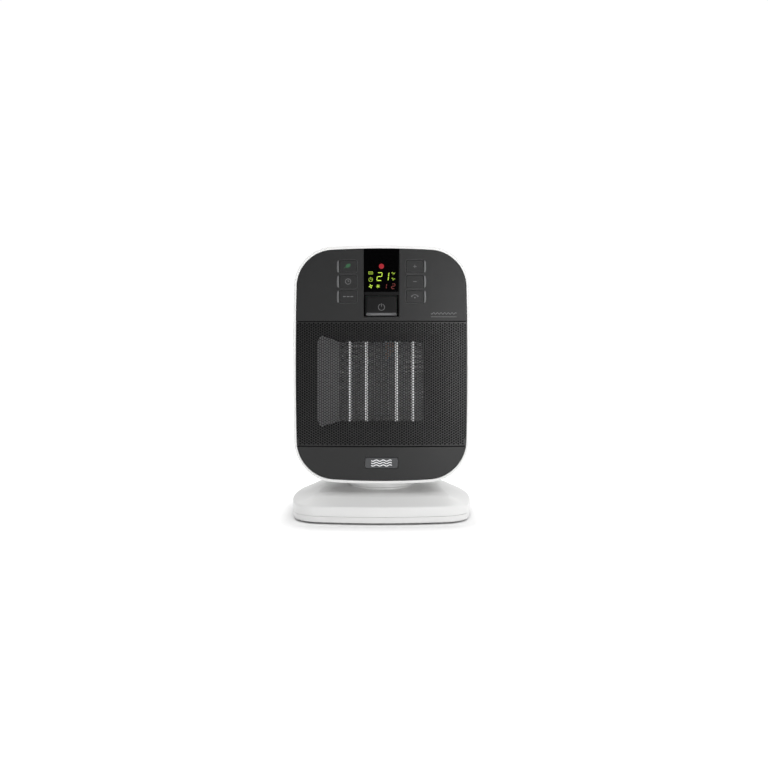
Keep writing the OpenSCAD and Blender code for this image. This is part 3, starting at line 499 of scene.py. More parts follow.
WHITE = material("white_shell", (0.74, 0.74, 0.735), 0.36, grain=(1400, 0.05), mottle=(9, 0.012), coat=0.08)
CHARCOAL = material("charcoal_fascia", (0.0142, 0.0143, 0.0145), 0.40, grain=(2600, 0.22),
                    mottle=(22, 0.05), specular=0.37)
GRILLE = material("grille_paint", (0.0055, 0.0056, 0.0057), 0.36, grain=(1800, 0.12), mottle=(30, 0.08),
                  specular=0.55)
GLOSS = material("gloss_black", (0.0007, 0.0007, 0.0008), 0.09, grain=(300, 0.01), mottle=(12, 0.1),
                 rough_spread=0.02, specular=0.3)
KEY_BLACK = material("key_black", (0.003, 0.003, 0.0031), 0.3, grain=(1500, 0.05), mottle=(20, 0.08),
                     specular=0.3)
SILL = material("window_sill", (0.003, 0.003, 0.0031), 0.34, grain=(1500, 0.05), mottle=(40, 0.2),
                specular=0.22)
SILVER = material("silver_trim", (0.13, 0.131, 0.134), 0.4, 0.4, grain=(2200, 0.06), mottle=(60, 0.05))
BADGE = material("badge_plate", (0.05, 0.051, 0.054), 0.3, 0.2, grain=(1800, 0.06), mottle=(60, 0.05))
BRIGHT = material("badge_print", (0.80, 0.81, 0.82), 0.28, 0.1, grain=(2000, 0.04), mottle=(60, 0.03))
DARK = material("dark_plastic", (0.022, 0.022, 0.024), 0.5, grain=(1800, 0.15), mottle=(25, 0.1))
DUCT = material("duct_plastic", (0.003, 0.003, 0.0032), 0.6, grain=(1500, 0.15), mottle=(18, 0.08),
                specular=0.1)
# Pale sheet for one duct wall only: a painted highlight of the light from the right
LIT_WALL_PAINT = material("duct_painted_light", (0.24, 0.24, 0.244), 0.5, 0.1, grain=(1300, 0.1), mottle=(18, 0.06))
RUBBER = material("foot_rubber", (0.02, 0.02, 0.021), 0.8, grain=(1500, 0.3), mottle=(30, 0.15), specular=0.3)
ZINC = material("zinc_steel", (0.56, 0.57, 0.58), 0.3, 1.0, grain=(900, 0.08), mottle=(120, 0.1))
NATURAL = material("natural_plastic", (0.76, 0.73, 0.64), 0.42, grain=(900, 0.06), mottle=(30, 0.04))
FIN = material("fin_aluminium", (0.29, 0.291, 0.294), 0.7, 0.0, grain=(1600, 0.1), mottle=(160, 0.22),
               rough_spread=0.12)
# Pale bars with a faint painted glow: emission that stands in for light falling on them behind the grille
PAINTED_GLOW_BAR = material("bar_painted_glow", (0.92, 0.92, 0.92), 0.4, 0.1, grain=(1300, 0.1), mottle=(140, 0.06),
               glow=0.15)
BRASS = material("brass_tab", (0.66, 0.46, 0.17), 0.3, 1.0, grain=(1200, 0.08), mottle=(150, 0.12))
BOARD = material("board", (0.02, 0.13, 0.07), 0.35, grain=(700, 0.12), mottle=(300, 0.25), coat=0.3)
BLUE = material("board_blue", (0.03, 0.09, 0.3), 0.4, grain=(900, 0.06), mottle=(60, 0.08))
LAMINATION = material("lamination", (0.24, 0.25, 0.27), 0.42, 0.9, mottle=(80, 0.15), stripes=("Y", 320, 0.6))
WINDING = material("winding", (0.45, 0.17, 0.06), 0.32, 0.8, mottle=(90, 0.15), stripes=("X", 420, 0.8))
FAN = material("fan_plastic", (0.028, 0.028, 0.031), 0.45, grain=(1400, 0.12), mottle=(30, 0.1))
CERAMIC = material("fuse_ceramic", (0.74, 0.70, 0.6), 0.25, grain=(600, 0.04), mottle=(90, 0.05), coat=0.5)
LEAD = material("lead_cover", (0.28, 0.02, 0.016), 0.55, grain=(1500, 0.12), mottle=(90, 0.12))
CLOTH = material("filter_cloth", (0.05, 0.05, 0.054), 0.8, grain=(2500, 0.3), mottle=(60, 0.15), sheen=0.2)
LIT_GREEN = material("lit_green", (0.42, 0.62, 0.045), 0.4, grain=(900, 0.02), mottle=(700, 0.12), glow=0.36)
LIT_RED = material("lit_red", (0.25, 0.005, 0.011), 0.3, grain=(900, 0.02), mottle=(500, 0.1), glow=0.22)
DIM_RED = material("dim_red", (0.11, 0.008, 0.005), 0.4, grain=(900, 0.02), mottle=(700, 0.2), glow=0.1)
PRINT = material("grey_print", (0.13, 0.13, 0.133), 0.5, grain=(2000, 0.1), mottle=(300, 0.08))
# Lighter than the fascia: painted highlights around the pads' edges
PAD_HIGHLIGHT = material("pad_edge_highlight", (0.046, 0.046, 0.047), 0.42, grain=(2000, 0.1), mottle=(300, 0.08))
GREEN_PRINT = material("green_print", (0.018, 0.085, 0.034), 0.5, grain=(2000, 0.1), mottle=(300, 0.1))

SLOT_MATERIAL = {
    "white_shell": WHITE, "charcoal_fascia": CHARCOAL, "grille_sheet": GRILLE, "gloss_black": GLOSS,
    "silver_trim": SILVER, "dark_plastic": DARK, "duct_plastic": DUCT, "foot_rubber": RUBBER,
    "zinc_steel": ZINC, "natural_plastic": NATURAL, "fin_aluminium": FIN, "brass_tab": BRASS,
    "board": BOARD, "board_blue": BLUE, "led_red": LIT_RED, "lamination": LAMINATION, "winding": WINDING,
    "fan_plastic": FAN, "fuse_ceramic": CERAMIC, "lead_cover": LEAD, "filter_cloth": CLOTH,
}


def dress_cad_nodes():
    """Gives every CAD node its slot's material. The ceramic bars have a paler one than the fins, with a faint
    painted glow, though they are no lamp.
    """
    slots = {s["node"]: s["material_slot"] for s in frame["record"]["subparts"]}
    for name, obj in frame["nodes"].items():
        mat = PAINTED_GLOW_BAR if name == "ptc_bars" else SLOT_MATERIAL[slots[name]]
        if not obj.material_slots:
            obj.data.materials.append(mat)
        for s in obj.material_slots:
            s.material = mat


# ---------------------------------------------------------------- front
def front_y(x):
    """Depth of the bowed front face at x."""
    return FRONT + BOW - np.sqrt(BOW ** 2 - np.asarray(x) ** 2)


def on_front(lift=0.0):
    def place(u, v, depth):
        return np.stack([u, front_y(u) - lift + depth, v], 1)
    return place


def front_plate(name, loops, proud, thickness, fillet, spacing, look, body, replaced, steps=3):
    """A plate with rounded edges on the bowed front. look is its material and a slot name, which is not used.
    """
    geometry = plate(loops, on_front(proud), thickness, fillet, spacing=spacing, steps=steps)
    piece(name, geometry, look[0], body, look[1], [replaced])


def front_housing():
    """The white ring: outer wall, rounded lip and inner wall."""
    lip_out, lip_in, wall = 1.5 * MM, 0.6 * MM, RIM - 0.3 * MM
    chamfer = 0.35 * MM
    lip = front_y(head_loop(0)[:, 0])
    section = [(chamfer, None, SPLIT), (0, None, SPLIT - chamfer)]
    section += [(0, None, y) for y in np.linspace(SPLIT - 4 * MM, FRONT + 12 * MM, 6)]
    quarter = np.linspace(0, math.pi / 2, 6)
    section += [(lip_out * (1 - math.cos(a)), lip_out * (1 - math.sin(a)), None) for a in quarter]
    section += [(wall - lip_in * (1 - math.sin(a)), lip_in * (1 - math.cos(a)), None) for a in quarter]
    section += [(wall, 6 * MM, None), (wall, None, FRONT + 16 * MM), (wall, None, SPLIT)]
    rings = [at_y(head_loop(inset), y if behind is None else lip + behind) for inset, behind, y in section]
    piece("front_shell", strip(rings, closed=True), WHITE, "head", "white_shell", ["front_housing"])


def key_places():
    """Middle of each side button, by its key body's name."""
    out = {}
    for key in ("eco", "timer", "mode", "plus", "minus", "swing"):
        lo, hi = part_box(key + "_button")
        out[key] = ((lo.x + hi.x) / 2, (lo.z + hi.z) / 2)
    return out


CHARCOAL_LOOK, SILVER_LOOK = (CHARCOAL, "charcoal_fascia"), (SILVER, "silver_trim")
KEY_AT = key_places()
KEY_W, KEY_H = 19.6 * MM, 13.9 * MM
NOTCH = window_hi.x + 0.12 * MM
NOTCH_Z = window_lo.z - 0.12 * MM
BADGE_CORNER = 2.4 * MM
# How much lower the power button's black cap ends than in the CAD, which makes room for the sill
POWER_TRIM = 1.2 * MM


def top_edge(half):
    """The part of the dark front's top edge up to half on either side, from left to right."""
    loop = head_loop(RIM)
    top = loop[(loop[:, 1] > HEAD_MID) & (np.abs(loop[:, 0]) < half)]
    return top[np.argsort(top[:, 0])]


def top_of(x):
    """Height of the dark front's top edge at x."""
    top = top_edge(50 * MM)
    return float(np.interp(x, top[:, 0], top[:, 1]))


def fascia(name, loops, replaced):
    front_plate(name, loops, 0, 2.9 * MM, 0.35 * MM, 7 * MM, CHARCOAL_LOOK, "head", replaced)


def fascias():
    panel = clip(head_loop(RIM), 1, high_lo.z, True)
    corner = int(np.argmin(panel[:, 0] + 10 * panel[:, 1]))
    panel = np.roll(panel, -corner, 0)
    right = panel[panel[:, 0] > NOTCH]
    left = panel[panel[:, 0] < -NOTCH]
    low_left, left = left[:1], left[1:]
    notch = rounded([(NOTCH, top_of(NOTCH), 0), (NOTCH, NOTCH_Z, 1 * MM), (-NOTCH, NOTCH_Z, 1 * MM),
                     (-NOTCH, top_of(NOTCH), 0)])
    outline = np.concatenate([low_left, right, notch, left])
    holes = [rect(x, z, KEY_W + 0.6 * MM, KEY_H + 0.6 * MM, 1.6 * MM) for x, z in KEY_AT.values()]
    fascia("upper_panel", [outline, *holes], "upper_fascia")
    low = clip(head_loop(RIM), 1, low_hi.z, False)
    fascia("lower_panel", [low, box_rect(badge_lo, badge_hi, 0.3 * MM, BADGE_CORNER)], "lower_fascia")


def window():
    half = window_hi.x
    low = rounded([(half, top_of(half), 0), (-half, top_of(half), 0), (-half, window_lo.z, 0.9 * MM),
                   (half, window_lo.z, 0.9 * MM)])
    outline = np.concatenate([low[:1], top_edge(half)[::-1], low[1:]])
    gap = 0.45 * MM
    hole = rect(0, (trim_lo.z + power_hi.z - POWER_TRIM) / 2, trim_hi.x - trim_lo.x + 2 * gap,
                power_hi.z - trim_lo.z - POWER_TRIM + 2 * gap, 0.8 * MM)
    front_plate("display_lens", [outline, hole], 0, 1.9 * MM, 0.3 * MM, 6 * MM,
                (GLOSS, "gloss_black"), "head", "display_window")


def window_sill():
    """Strip between the display and the power button that catches a little light."""
    z = power_hi.z + 2.0 * MM
    outline = rect(0, z, 2 * window_hi.x - 1.6 * MM, 3.4 * MM, 0.6 * MM)
    symbol("window_sill", [[outline]], 0.05 * MM, SILL, slot="gloss_black")


# ---------------------------------------------------------------- grille
PITCH = 2.94 * MM
HOLE_R = 1.15 * MM


def hexagon_sheet(centres, hexagon, hole, top, bottom):
    """A sheet of hexagons that share their corners, each with a round hole, between two depths.
    Returns its geometry, its flat points and its outer edges."""
    corner, flat, cells = {}, [], []
    for c in centres:
        row = []
        for p in c + hexagon:
            key = (round(p[0] * 1e5), round(p[1] * 1e5))
            if key not in corner:
                corner[key] = len(flat)
                flat.append(p)
            row.append(corner[key])
        cells.append((row, len(flat)))
        flat.extend(c + hole)
    flat = np.array(flat)
    n = len(flat)
    faces, uses = [], {}
    for row, first in cells:
        for k in range(6):
            a, b = row[k], row[(k + 1) % 6]
            h = [first + (2 * k + j) % 12 for j in range(3)]
            faces.append((a, b, h[2], h[1], h[0]))
            faces.append((b + n, a + n, h[0] + n, h[1] + n, h[2] + n))
            edge = (min(a, b), max(a, b))
            uses[edge] = uses.get(edge, 0) + 1
        faces += quads(first, first + n, 12)
    border = [e for e, count in uses.items() if count == 1]
    faces += [(a, b, b + n, a + n) for a, b in border]
    place = on_front()
    verts = np.concatenate([place(flat[:, 0], flat[:, 1], depth) for depth in (top, bottom)])
    return (verts, faces), flat, border


def followed(edges):
    """The points of a closed line of edges, one after another."""
    beside = {}
    for a, b in edges:
        beside.setdefault(a, []).append(b)
        beside.setdefault(b, []).append(a)
    points, last = [edges[0][0]], None
    while True:
        now = points[-1]
        ahead = [p for p in beside[now] if p != last][0]
        if ahead == points[0]:
            return points
        points.append(ahead)
        last = now


def grille():
    """A sheet with staggered round holes, in two halves, and the plain border around them."""
    skin, sheet, margin, gap = 0.8 * MM, 0.5 * MM, 0.2 * MM, 0.7 * MM
    outline = clip(clip(head_loop(RIM), 1, mesh_lo.z + gap, True), 1, mesh_hi.z - gap, False)
    safe = inwards(outline, margin)
    column = PITCH * math.sqrt(3) / 2
    hexagon, hole = circle(0, 0, PITCH / math.sqrt(3), 6), circle(0, 0, HOLE_R, 12)
    cols = int(HALF_W / column) + 1
    rows = int((mesh_hi.z - mesh_lo.z) / PITCH / 2) + 2
    centres = np.array([(c * column, MESH_MID + (r + 0.5 * (c % 2)) * PITCH)
                        for c in range(-cols, cols + 1) for r in range(-rows, rows + 1)])

    def fits(shape):
        reach = (centres[:, None] + shape[None]).reshape(-1, 2)
        return inside(reach, safe).reshape(len(centres), -1).all(1)

    whole = fits(hexagon)
    edge_holes = [c + hole for c in centres[fits(hole) & ~whole]]
    centres = centres[whole]
    for name, side in (("grille_left", centres[:, 0] < -1e-6), ("grille_right", centres[:, 0] >= -1e-6)):
        geometry, _, _ = hexagon_sheet(centres[side], hexagon, hole, skin, skin + sheet)
        piece(name, geometry, GRILLE, "head", "grille_sheet", ["grille_mesh"], angle=25)

    _, flat, border = hexagon_sheet(centres, hexagon, hole, skin, skin + sheet)
    loops = [outline, flat[followed(border)], *edge_holes]
    piece("grille_border", plate(loops, on_front(-skin), sheet, 0.05 * MM, steps=1),
          GRILLE, "head", "grille_sheet", ["grille_mesh"])


# ---------------------------------------------------------------- buttons and display
def plates(name, shapes, place, thickness, fillet, mat, body, slot, replaces=()):
    parts = [plate(loops, place, thickness, fillet, steps=2) for loops in shapes]
    return piece(name, joined(parts), mat, body, slot, replaces)


def symbol(name, shapes, lift, mat, body="head", slot="silver_trim"):
    """Flat marks printed on the front, a little proud of it."""
    plates(name, shapes, on_front(lift), 0.12 * MM, 0.03 * MM, mat, body, slot)


def moved(loop, x, z, scale=1.0):
    return np.array(loop, float) * scale + [x, z]


def ring_shape(x, z, r, width, n=32):
    return [circle(x, z, r, n), circle(x, z, r - width, n)]


def arc_stroke(x, z, r, start, end, width, n=18):
    a = np.radians(np.linspace(start, end, n))
    return [stroke(np.stack([x + r * np.cos(a), z + r * np.sin(a)], 1), width)]


def line(x0, z0, x1, z1, width):
    return [stroke([(x0, z0), (x1, z1)], width)]


def clock_shapes(x, z, r, width):
    return [ring_shape(x, z, r, width), [stroke([(x, z + 0.62 * r), (x, z), (x + 0.42 * r, z)], width)]]


def leaf_shapes(x, z, size):
    t = np.linspace(0, math.pi, 14)
    side = np.stack([np.cos(t), 0.62 * np.sin(t)], 1)
    blade = np.concatenate([side, -side[1:-1]]) @ np.array([[0.87, 0.5], [-0.5, 0.87]])
    stem = line(x - 1.5 * size, z - 0.9 * size, x - 0.9 * size, z - 0.55 * size, 0.22 * size)
    return [[moved(blade, x, z, size)], stem]


def fan_shapes(x, z, size):
    shapes = []
    for k in range(4):
        a = k * math.pi / 2 + 0.3
        t = np.linspace(0, 2 * math.pi, 14, endpoint=False)
        blade = np.stack([0.58 + 0.42 * np.cos(t), 0.24 * np.sin(t)], 1)
        turn = np.array([[math.cos(a), math.sin(a)], [-math.sin(a), math.cos(a)]])
        shapes.append([moved(blade @ turn, x, z, size)])
    return shapes


def sun_shapes(x, z, size):
    shapes = [[circle(x, z, 0.42 * size, 20)]]
    for k in range(8):
        a = k * math.pi / 4
        c, s = math.cos(a) * size, math.sin(a) * size
        shapes.append(line(x + 0.6 * c, z + 0.6 * s, x + c, z + s, 0.18 * size))
    return shapes


SEGMENTS = {"1": "bc", "2": "abged"}


def digit_shapes(digit, x, z, w, h, bar, slant=0.12):
    """Slanted seven-segment figure with its middle at x, z."""
    ends = {"a": ((-1, 2), (1, 2)), "b": ((1, 2), (1, 0)), "c": ((1, 0), (1, -2)), "d": ((-1, -2), (1, -2)),
            "e": ((-1, 0), (-1, -2)), "g": ((-1, 0), (1, 0))}
    shapes = []
    for s in SEGMENTS[digit]:
        p, q = (np.array(e, float) * [w / 2, h / 4] for e in ends[s])
        d = (q - p) / np.linalg.norm(q - p)
        n = np.array([-d[1], d[0]]) * bar / 2
        p, q = p + d * 0.12 * bar, q - d * 0.12 * bar
        cut = d * bar / 2
        loop = np.array([p, p + cut - n, q - cut - n, q, q - cut + n, p + cut + n])
        loop[:, 0] += slant * loop[:, 1]
        shapes.append([loop + [x, z]])
    return shapes


def arrow(x, z, direction, size):
    d = direction * size
    return [np.array([(x + d, z), (x, z + 0.7 * size), (x, z - 0.7 * size)])]


# How proud the pads are, and the width of the lines printed on them
PROUD = 0.3 * MM
THIN = 0.55 * MM


def mark(key, shapes, ink=PRINT, slot="silver_trim"):
    """What is printed on a button's pad."""
    symbol(key + "_mark", shapes, PROUD + 0.05 * MM, ink, key + "_key", slot)


def pads():
    """The six buttons' caps, each in a thin lighter frame, a painted highlight along the pads' edges."""
    # Thin lighter frames around the pads: painted highlights of their edges
    highlight_frames = [[rect(x, z, KEY_W + 1.5 * MM, KEY_H + 1.5 * MM, 2.0 * MM),
               rect(x, z, KEY_W + 0.7 * MM, KEY_H + 0.7 * MM, 1.6 * MM)] for x, z in KEY_AT.values()]
    symbol("pad_highlight_frames", highlight_frames, 0.06 * MM, PAD_HIGHLIGHT, slot="charcoal_fascia")
    for key, (x, z) in KEY_AT.items():
        cap_shape = rect(x, z, KEY_W, KEY_H, 1.5 * MM)
        front_plate(key + "_pad", [cap_shape], PROUD, 3.6 * MM, 0.45 * MM, 5 * MM,
                    CHARCOAL_LOOK, key + "_key", key + "_button")


def marks():
    x, z = KEY_AT["eco"]
    mark("eco", leaf_shapes(x, z + 0.8 * MM, 3.1 * MM), GREEN_PRINT, "board")
    mark("timer", clock_shapes(*KEY_AT["timer"], 3.3 * MM, THIN))
    x, z = KEY_AT["mode"]
    dashes = [line(x + c - 1.5 * MM, z, x + c + 1.5 * MM, z, 0.9 * MM) for c in (-4.2 * MM, 0, 4.2 * MM)]
    mark("mode", dashes)
    x, z = KEY_AT["plus"]
    arm = 1.9 * MM
    plus = [line(x - arm, z, x + arm, z, THIN), line(x, z + THIN / 2, x, z + arm, THIN),
            line(x, z - arm, x, z - THIN / 2, THIN)]
    mark("plus", plus)
    x, z = KEY_AT["minus"]
    mark("minus", [line(x - arm, z, x + arm, z, THIN)])
    x, z = KEY_AT["swing"]
    pivot = z - 1.2 * MM
    swing = [arc_stroke(x, pivot, 3.4 * MM, 35, 145, THIN), [circle(x, pivot, 0.8 * MM, 16)]]
    swing += [arrow(x + side * 2.9 * MM, z + 0.4 * MM, side, 1.5 * MM) for side in (-1, 1)]
    mark("swing", swing)


def power_button():
    """A black cap, the bright strip under it, and its symbol."""
    width = trim_hi.x - trim_lo.x
    cap_top = power_hi.z - POWER_TRIM
    cap_shape = rect(0, (trim_hi.z + cap_top) / 2, width, cap_top - trim_hi.z, 1.0 * MM)
    front_plate("power_cap", [cap_shape], 0.5 * MM, 3.8 * MM, 0.6 * MM, 5 * MM,
                (KEY_BLACK, "gloss_black"), "power_key", "power_button")
    strip_shape = rect(0, (trim_lo.z + trim_hi.z) / 2, width, trim_hi.z - trim_lo.z - 0.1 * MM, 0.9 * MM)
    front_plate("power_strip", [strip_shape], 0.9 * MM, 3.5 * MM, 0.7 * MM, 4 * MM,
                SILVER_LOOK, "power_key", "power_trim", steps=4)
    z = (trim_hi.z + power_hi.z) / 2 - 3.6 * MM
    power = [arc_stroke(0, z, 3.5 * MM, 110, 430, THIN, 32), line(0, z + 0.5 * MM, 0, z + 4.2 * MM, THIN)]
    symbol("power_mark", power, 0.56 * MM, PRINT, "power_key")


def accents():
    """Six bright bars beside the pads, each a little bowed."""
    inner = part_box("accent_bars")[1].x - 2.8 * MM
    shapes = []
    for x, z in KEY_AT.values():
        side = 1 if x > 0 else -1
        t = np.linspace(-1, 1, 15)
        bow = 0.45 * MM * (1 - t ** 2)
        reach = KEY_H / 2 - 0.2 * MM
        width = 1.15 * MM * np.sqrt(np.clip(1 - np.abs(t) ** 6, 0.1, 1))
        middle = inner + 1.0 * MM + bow
        outer_edge, inner_edge = (np.stack([side * (middle + w), z + t * reach], 1) for w in (width, -width))
        shapes.append([np.concatenate([outer_edge, inner_edge[::-1]])])
    parts = [plate(s, on_front(0.6 * MM), 1.8 * MM, 0.5 * MM, steps=4) for s in shapes]
    piece("accent_trim", joined(parts), SILVER, "head", "silver_trim", ["accent_bars"])


def display():
    """Lit figures and marks of the display, and its red status light."""
    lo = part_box("display_module")[0]
    led_lo, led_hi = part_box("status_led")
    led_z = (led_lo.z + led_hi.z) / 2
    led = [[circle(0, led_z, (led_hi.z - led_lo.z) / 2, 40)]]
    plates("status_light", led, on_front(0.1 * MM), 0.3 * MM, 0.1 * MM,
           LIT_RED, "head", "led_red", ["status_led"])
    left, z = lo.x + 3.9 * MM, lo.z + 17.2 * MM
    step = 7.45 * MM
    bar = 0.82 * MM
    figures = digit_shapes("2", left + 9.9 * MM, z - 0.2 * MM, 5.0 * MM, 8.8 * MM, bar)
    figures += digit_shapes("1", left + 17.8 * MM, z - 0.2 * MM, 4.4 * MM, 8.8 * MM, bar)
    symbol("display_figures", figures, 0.02 * MM, LIT_GREEN)
    thin = 0.34 * MM
    green = []
    for low in (1.6 * MM, -4.6 * MM):
        green += [ring_shape(left + 24.2 * MM, z + low + 2.4 * MM, 0.7 * MM, 0.26 * MM, 16),
                  line(left + 24.9 * MM, z + low, left + 26.0 * MM, z + low + 2.6 * MM, thin),
                  line(left + 26.5 * MM, z + low + 0.9 * MM, left + 27.2 * MM, z + low + 2.6 * MM, thin)]
    top = z + 3.9 * MM
    green.append([rect(left, top, 5.0 * MM, 3.0 * MM, 0.4 * MM, 3),
                  rect(left, top, 4.4 * MM, 2.4 * MM, 0.2 * MM, 3)])
    slats = (left - 1.1 * MM, left, left + 1.1 * MM)
    green += [line(x, top - 0.6 * MM, x, top + 0.6 * MM, thin) for x in slats]
    green += clock_shapes(left, top - step, 2.3 * MM, thin)
    green += fan_shapes(left, top - 2 * step, 2.3 * MM)
    green += sun_shapes(left + 8.2 * MM, top - 2 * step, 2.2 * MM)
    symbol("display_icons", green, 0.02 * MM, LIT_GREEN)
    red = digit_shapes("1", left + 16.4 * MM, top - 2 * step, 2.6 * MM, 5.4 * MM, 0.8 * MM)
    red += digit_shapes("2", left + 25.4 * MM, top - 2 * step, 3.4 * MM, 5.4 * MM, 0.8 * MM)
    symbol("display_red", red, 0.02 * MM, DIM_RED, slot="led_red")


def wave_line(x, z, width, height, periods):
    t = np.linspace(-0.5, 0.5, 12 * periods + 1)
    return np.stack([x + t * width, z + height * np.sin(2 * math.pi * periods * t)], 1)


def badge():
    z = (badge_lo.z + badge_hi.z) / 2
    outline = box_rect(badge_lo, badge_hi, 0, BADGE_CORNER)
    front_plate("badge_plate", [outline], 0.6 * MM, 1.2 * MM, 0.4 * MM, 5 * MM,
                (BADGE, "silver_trim"), "head", "badge")
    waves = [stroke(wave_line(0, z + k * 2.7 * MM, 23 * MM, 0.75 * MM, 3), 0.95 * MM) for k in (-1, 0, 1)]
    symbol("badge_mark", [[w] for w in waves], 0.66 * MM, BRIGHT)
    middle, width, wave_z, line_z = 70 * MM, 29 * MM, 232.8 * MM, 229 * MM
    warm_air = [[stroke(wave_line(middle, wave_z, width, 0.9 * MM, 7), 0.6 * MM)],
                line(middle - width / 2, line_z, middle + width / 2, line_z, 0.5 * MM)]
    symbol("heat_mark", warm_air, 0.06 * MM, PRINT)


# ---------------------------------------------------------------- duct
DUCT_FRONT, DUCT_BACK, DUCT_WALL = -54.2 * MM, -30 * MM, 2 * MM
OPENING_Z, OPENING_W, OPENING_H, OPENING_CORNER = 156.5 * MM, 146.8 * MM, 111 * MM, 14 * MM


def duct():
    """Black plate behind the grille, the black funnel that narrows to the element, and a pale sheet on one
    side wall that is a painted highlight.
    """
    opening = rect(0, OPENING_Z, OPENING_W, OPENING_H, OPENING_CORNER, 12)
    throat = rect(0, (fins_lo.z + fins_hi.z) / 2, 96 * MM, fins_hi.z - fins_lo.z + 0.2 * MM, 3 * MM, 12)
    above, below = mesh_hi.z + 4 * MM, mesh_lo.z - 4 * MM
    around = clip(clip(head_loop(4.5 * MM), 1, below, True), 1, above, False)
    piece("duct_flange", plate([around, opening], upright(DUCT_FRONT), DUCT_WALL, 0.3 * MM, spacing=14 * MM),
          DUCT, "head", "duct_plastic", ["air_duct"])

    def funnel(t, inset):
        """The funnel's outline at part t of the way to the element."""
        loop = inwards(opening * (1 - t) + throat * t, inset)
        return at_y(loop, DUCT_FRONT + (DUCT_BACK - DUCT_FRONT) * t)

    mouth = 0.05 * MM / (DUCT_BACK - DUCT_FRONT)
    rings = [funnel(1, -DUCT_WALL), funnel(mouth, -DUCT_WALL), funnel(mouth, 0), funnel(1, 0.02 * MM)]
    piece("duct_funnel", strip(rings, closed=True), DUCT, "head", "duct_plastic", ["air_duct"])

    # Painted highlight: a pale sheet lines the left wall only, where the light from the right falls, round to
    # its corners
    reach = OPENING_H / 2 - 2.9 * MM
    side = np.where((opening[:, 0] < -60 * MM) & (np.abs(opening[:, 1] - OPENING_Z) < reach))[0]
    side = side[np.argsort(opening[side, 1])]
    rows = [funnel(t, 0.3 * MM)[side] for t in np.linspace(0.03, 0.98, 6)]
    m = len(side)
    faces = [(k * m + i, k * m + i + 1, (k + 1) * m + i + 1, (k + 1) * m + i)
             for k in range(len(rows) - 1) for i in range(m - 1)]
    lit_wall_sheet = piece("duct_painted_light", (np.concatenate(rows), faces), LIT_WALL_PAINT, "head", "duct_plastic", ["air_duct"])
    thicken(lit_wall_sheet, 0.2 * MM)


# ---------------------------------------------------------------- element
def element_fins():
    """Ten columns of folded fins between thin plates, which stand between the CAD's bars."""
    bars = frame["nodes"]["ptc_bars"]
    bar_x = sorted({round(v.co.x, 5) for v in bars.data.vertices if v.co.x > 0})
    plate_t = 0.6 * MM
    half = fins_hi.x
    between = (bar_x[1] + bar_x[2]) / 2
    first = (bar_x[0] + plate_t / 2) / 2
    columns = [(plate_t / 2, first - plate_t / 2), (first + plate_t / 2, bar_x[0]),
               (bar_x[1], between - plate_t / 2), (between + plate_t / 2, bar_x[2]),
               (bar_x[3], half - plate_t)]
    fold, sheet = 2.2 * MM, 0.42 * MM
    y0, y1 = fins_lo.y + 0.4 * MM, fins_hi.y - 0.4 * MM
    z0, z1 = fins_lo.z + 0.4 * MM, fins_hi.z - 0.4 * MM
    samples = int((z1 - z0) / fold * 10)
    z = np.linspace(z0, z1, samples)
    parts = []
    for k, (a, b) in enumerate(columns):
        for side in (-1, 1):
            phase = 2 * math.pi * (z - z0) / fold + (0.9 * k + 0.4 * side)
            x = (a + b) / 2 + ((b - a) / 2 - 0.1 * MM) * np.arcsin(0.97 * np.sin(phase)) / math.asin(0.97)
            dx, dz = np.gradient(x), np.gradient(z)
            length = np.hypot(dx, dz)
            nx, nz = -dz / length * sheet / 2, dx / length * sheet / 2
            rows = [np.stack([side * (x + s * nx), np.full(samples, y), z + s * nz], 1)
                    for s, y in ((1, y0), (1, y1), (-1, y1), (-1, y0))]
            parts.append(bar(rows))
    for x in (0, first, -first, between, -between, half - plate_t / 2, plate_t / 2 - half):
        outline = rect(x, (fins_lo.z + fins_hi.z) / 2, plate_t, fins_hi.z - fins_lo.z, 0.12 * MM, 3)
        parts.append(plate([outline], upright(fins_lo.y), fins_hi.y - fins_lo.y, 0.1 * MM, steps=1))
    piece("folded_fins", joined(parts), FIN, "head", "fin_aluminium", ["heater_fins"], angle=40)


# ---------------------------------------------------------------- rear
def rear_y(x, z):
    """Depth of the domed back at a point of the outline's inside."""
    r, corner = BACK_CORNER, DOME_CORNER
    qx = np.abs(x) - (HALF_W - corner)
    qz = np.abs(z - HEAD_MID) - ((HEAD_Z1 - HEAD_Z0) / 2 - corner)
    outside = np.hypot(np.maximum(qx, 0), np.maximum(qz, 0)) + np.minimum(np.maximum(qx, qz), 0) - corner
    d = np.clip(-outside, 0, r)
    bulge = np.sqrt(np.maximum(r ** 2 - (r - d) ** 2, 0))
    drop = x ** 2 / DOME_X + (z - HEAD_MID) ** 2 / DOME_Z
    return BACK - r + bulge * (1 - drop / r)


def on_rear(loop, sunk=0.0):
    """The points of a flat outline on the domed back, or sunk below it."""
    return at_y(loop, rear_y(loop[:, 0], loop[:, 1]) - sunk)


# Depths of the floors of the filter's well and of the hand's, and of the intake grid's face
FILTER_FLOOR, HAND_FLOOR, GRID_FACE = 53 * MM, 40 * MM, 56 * MM
# Places of the hand's well and of the screws
HAND_Z, SCREW_X, SCREW_ZS = 279 * MM, 80 * MM, (85 * MM, 262 * MM)


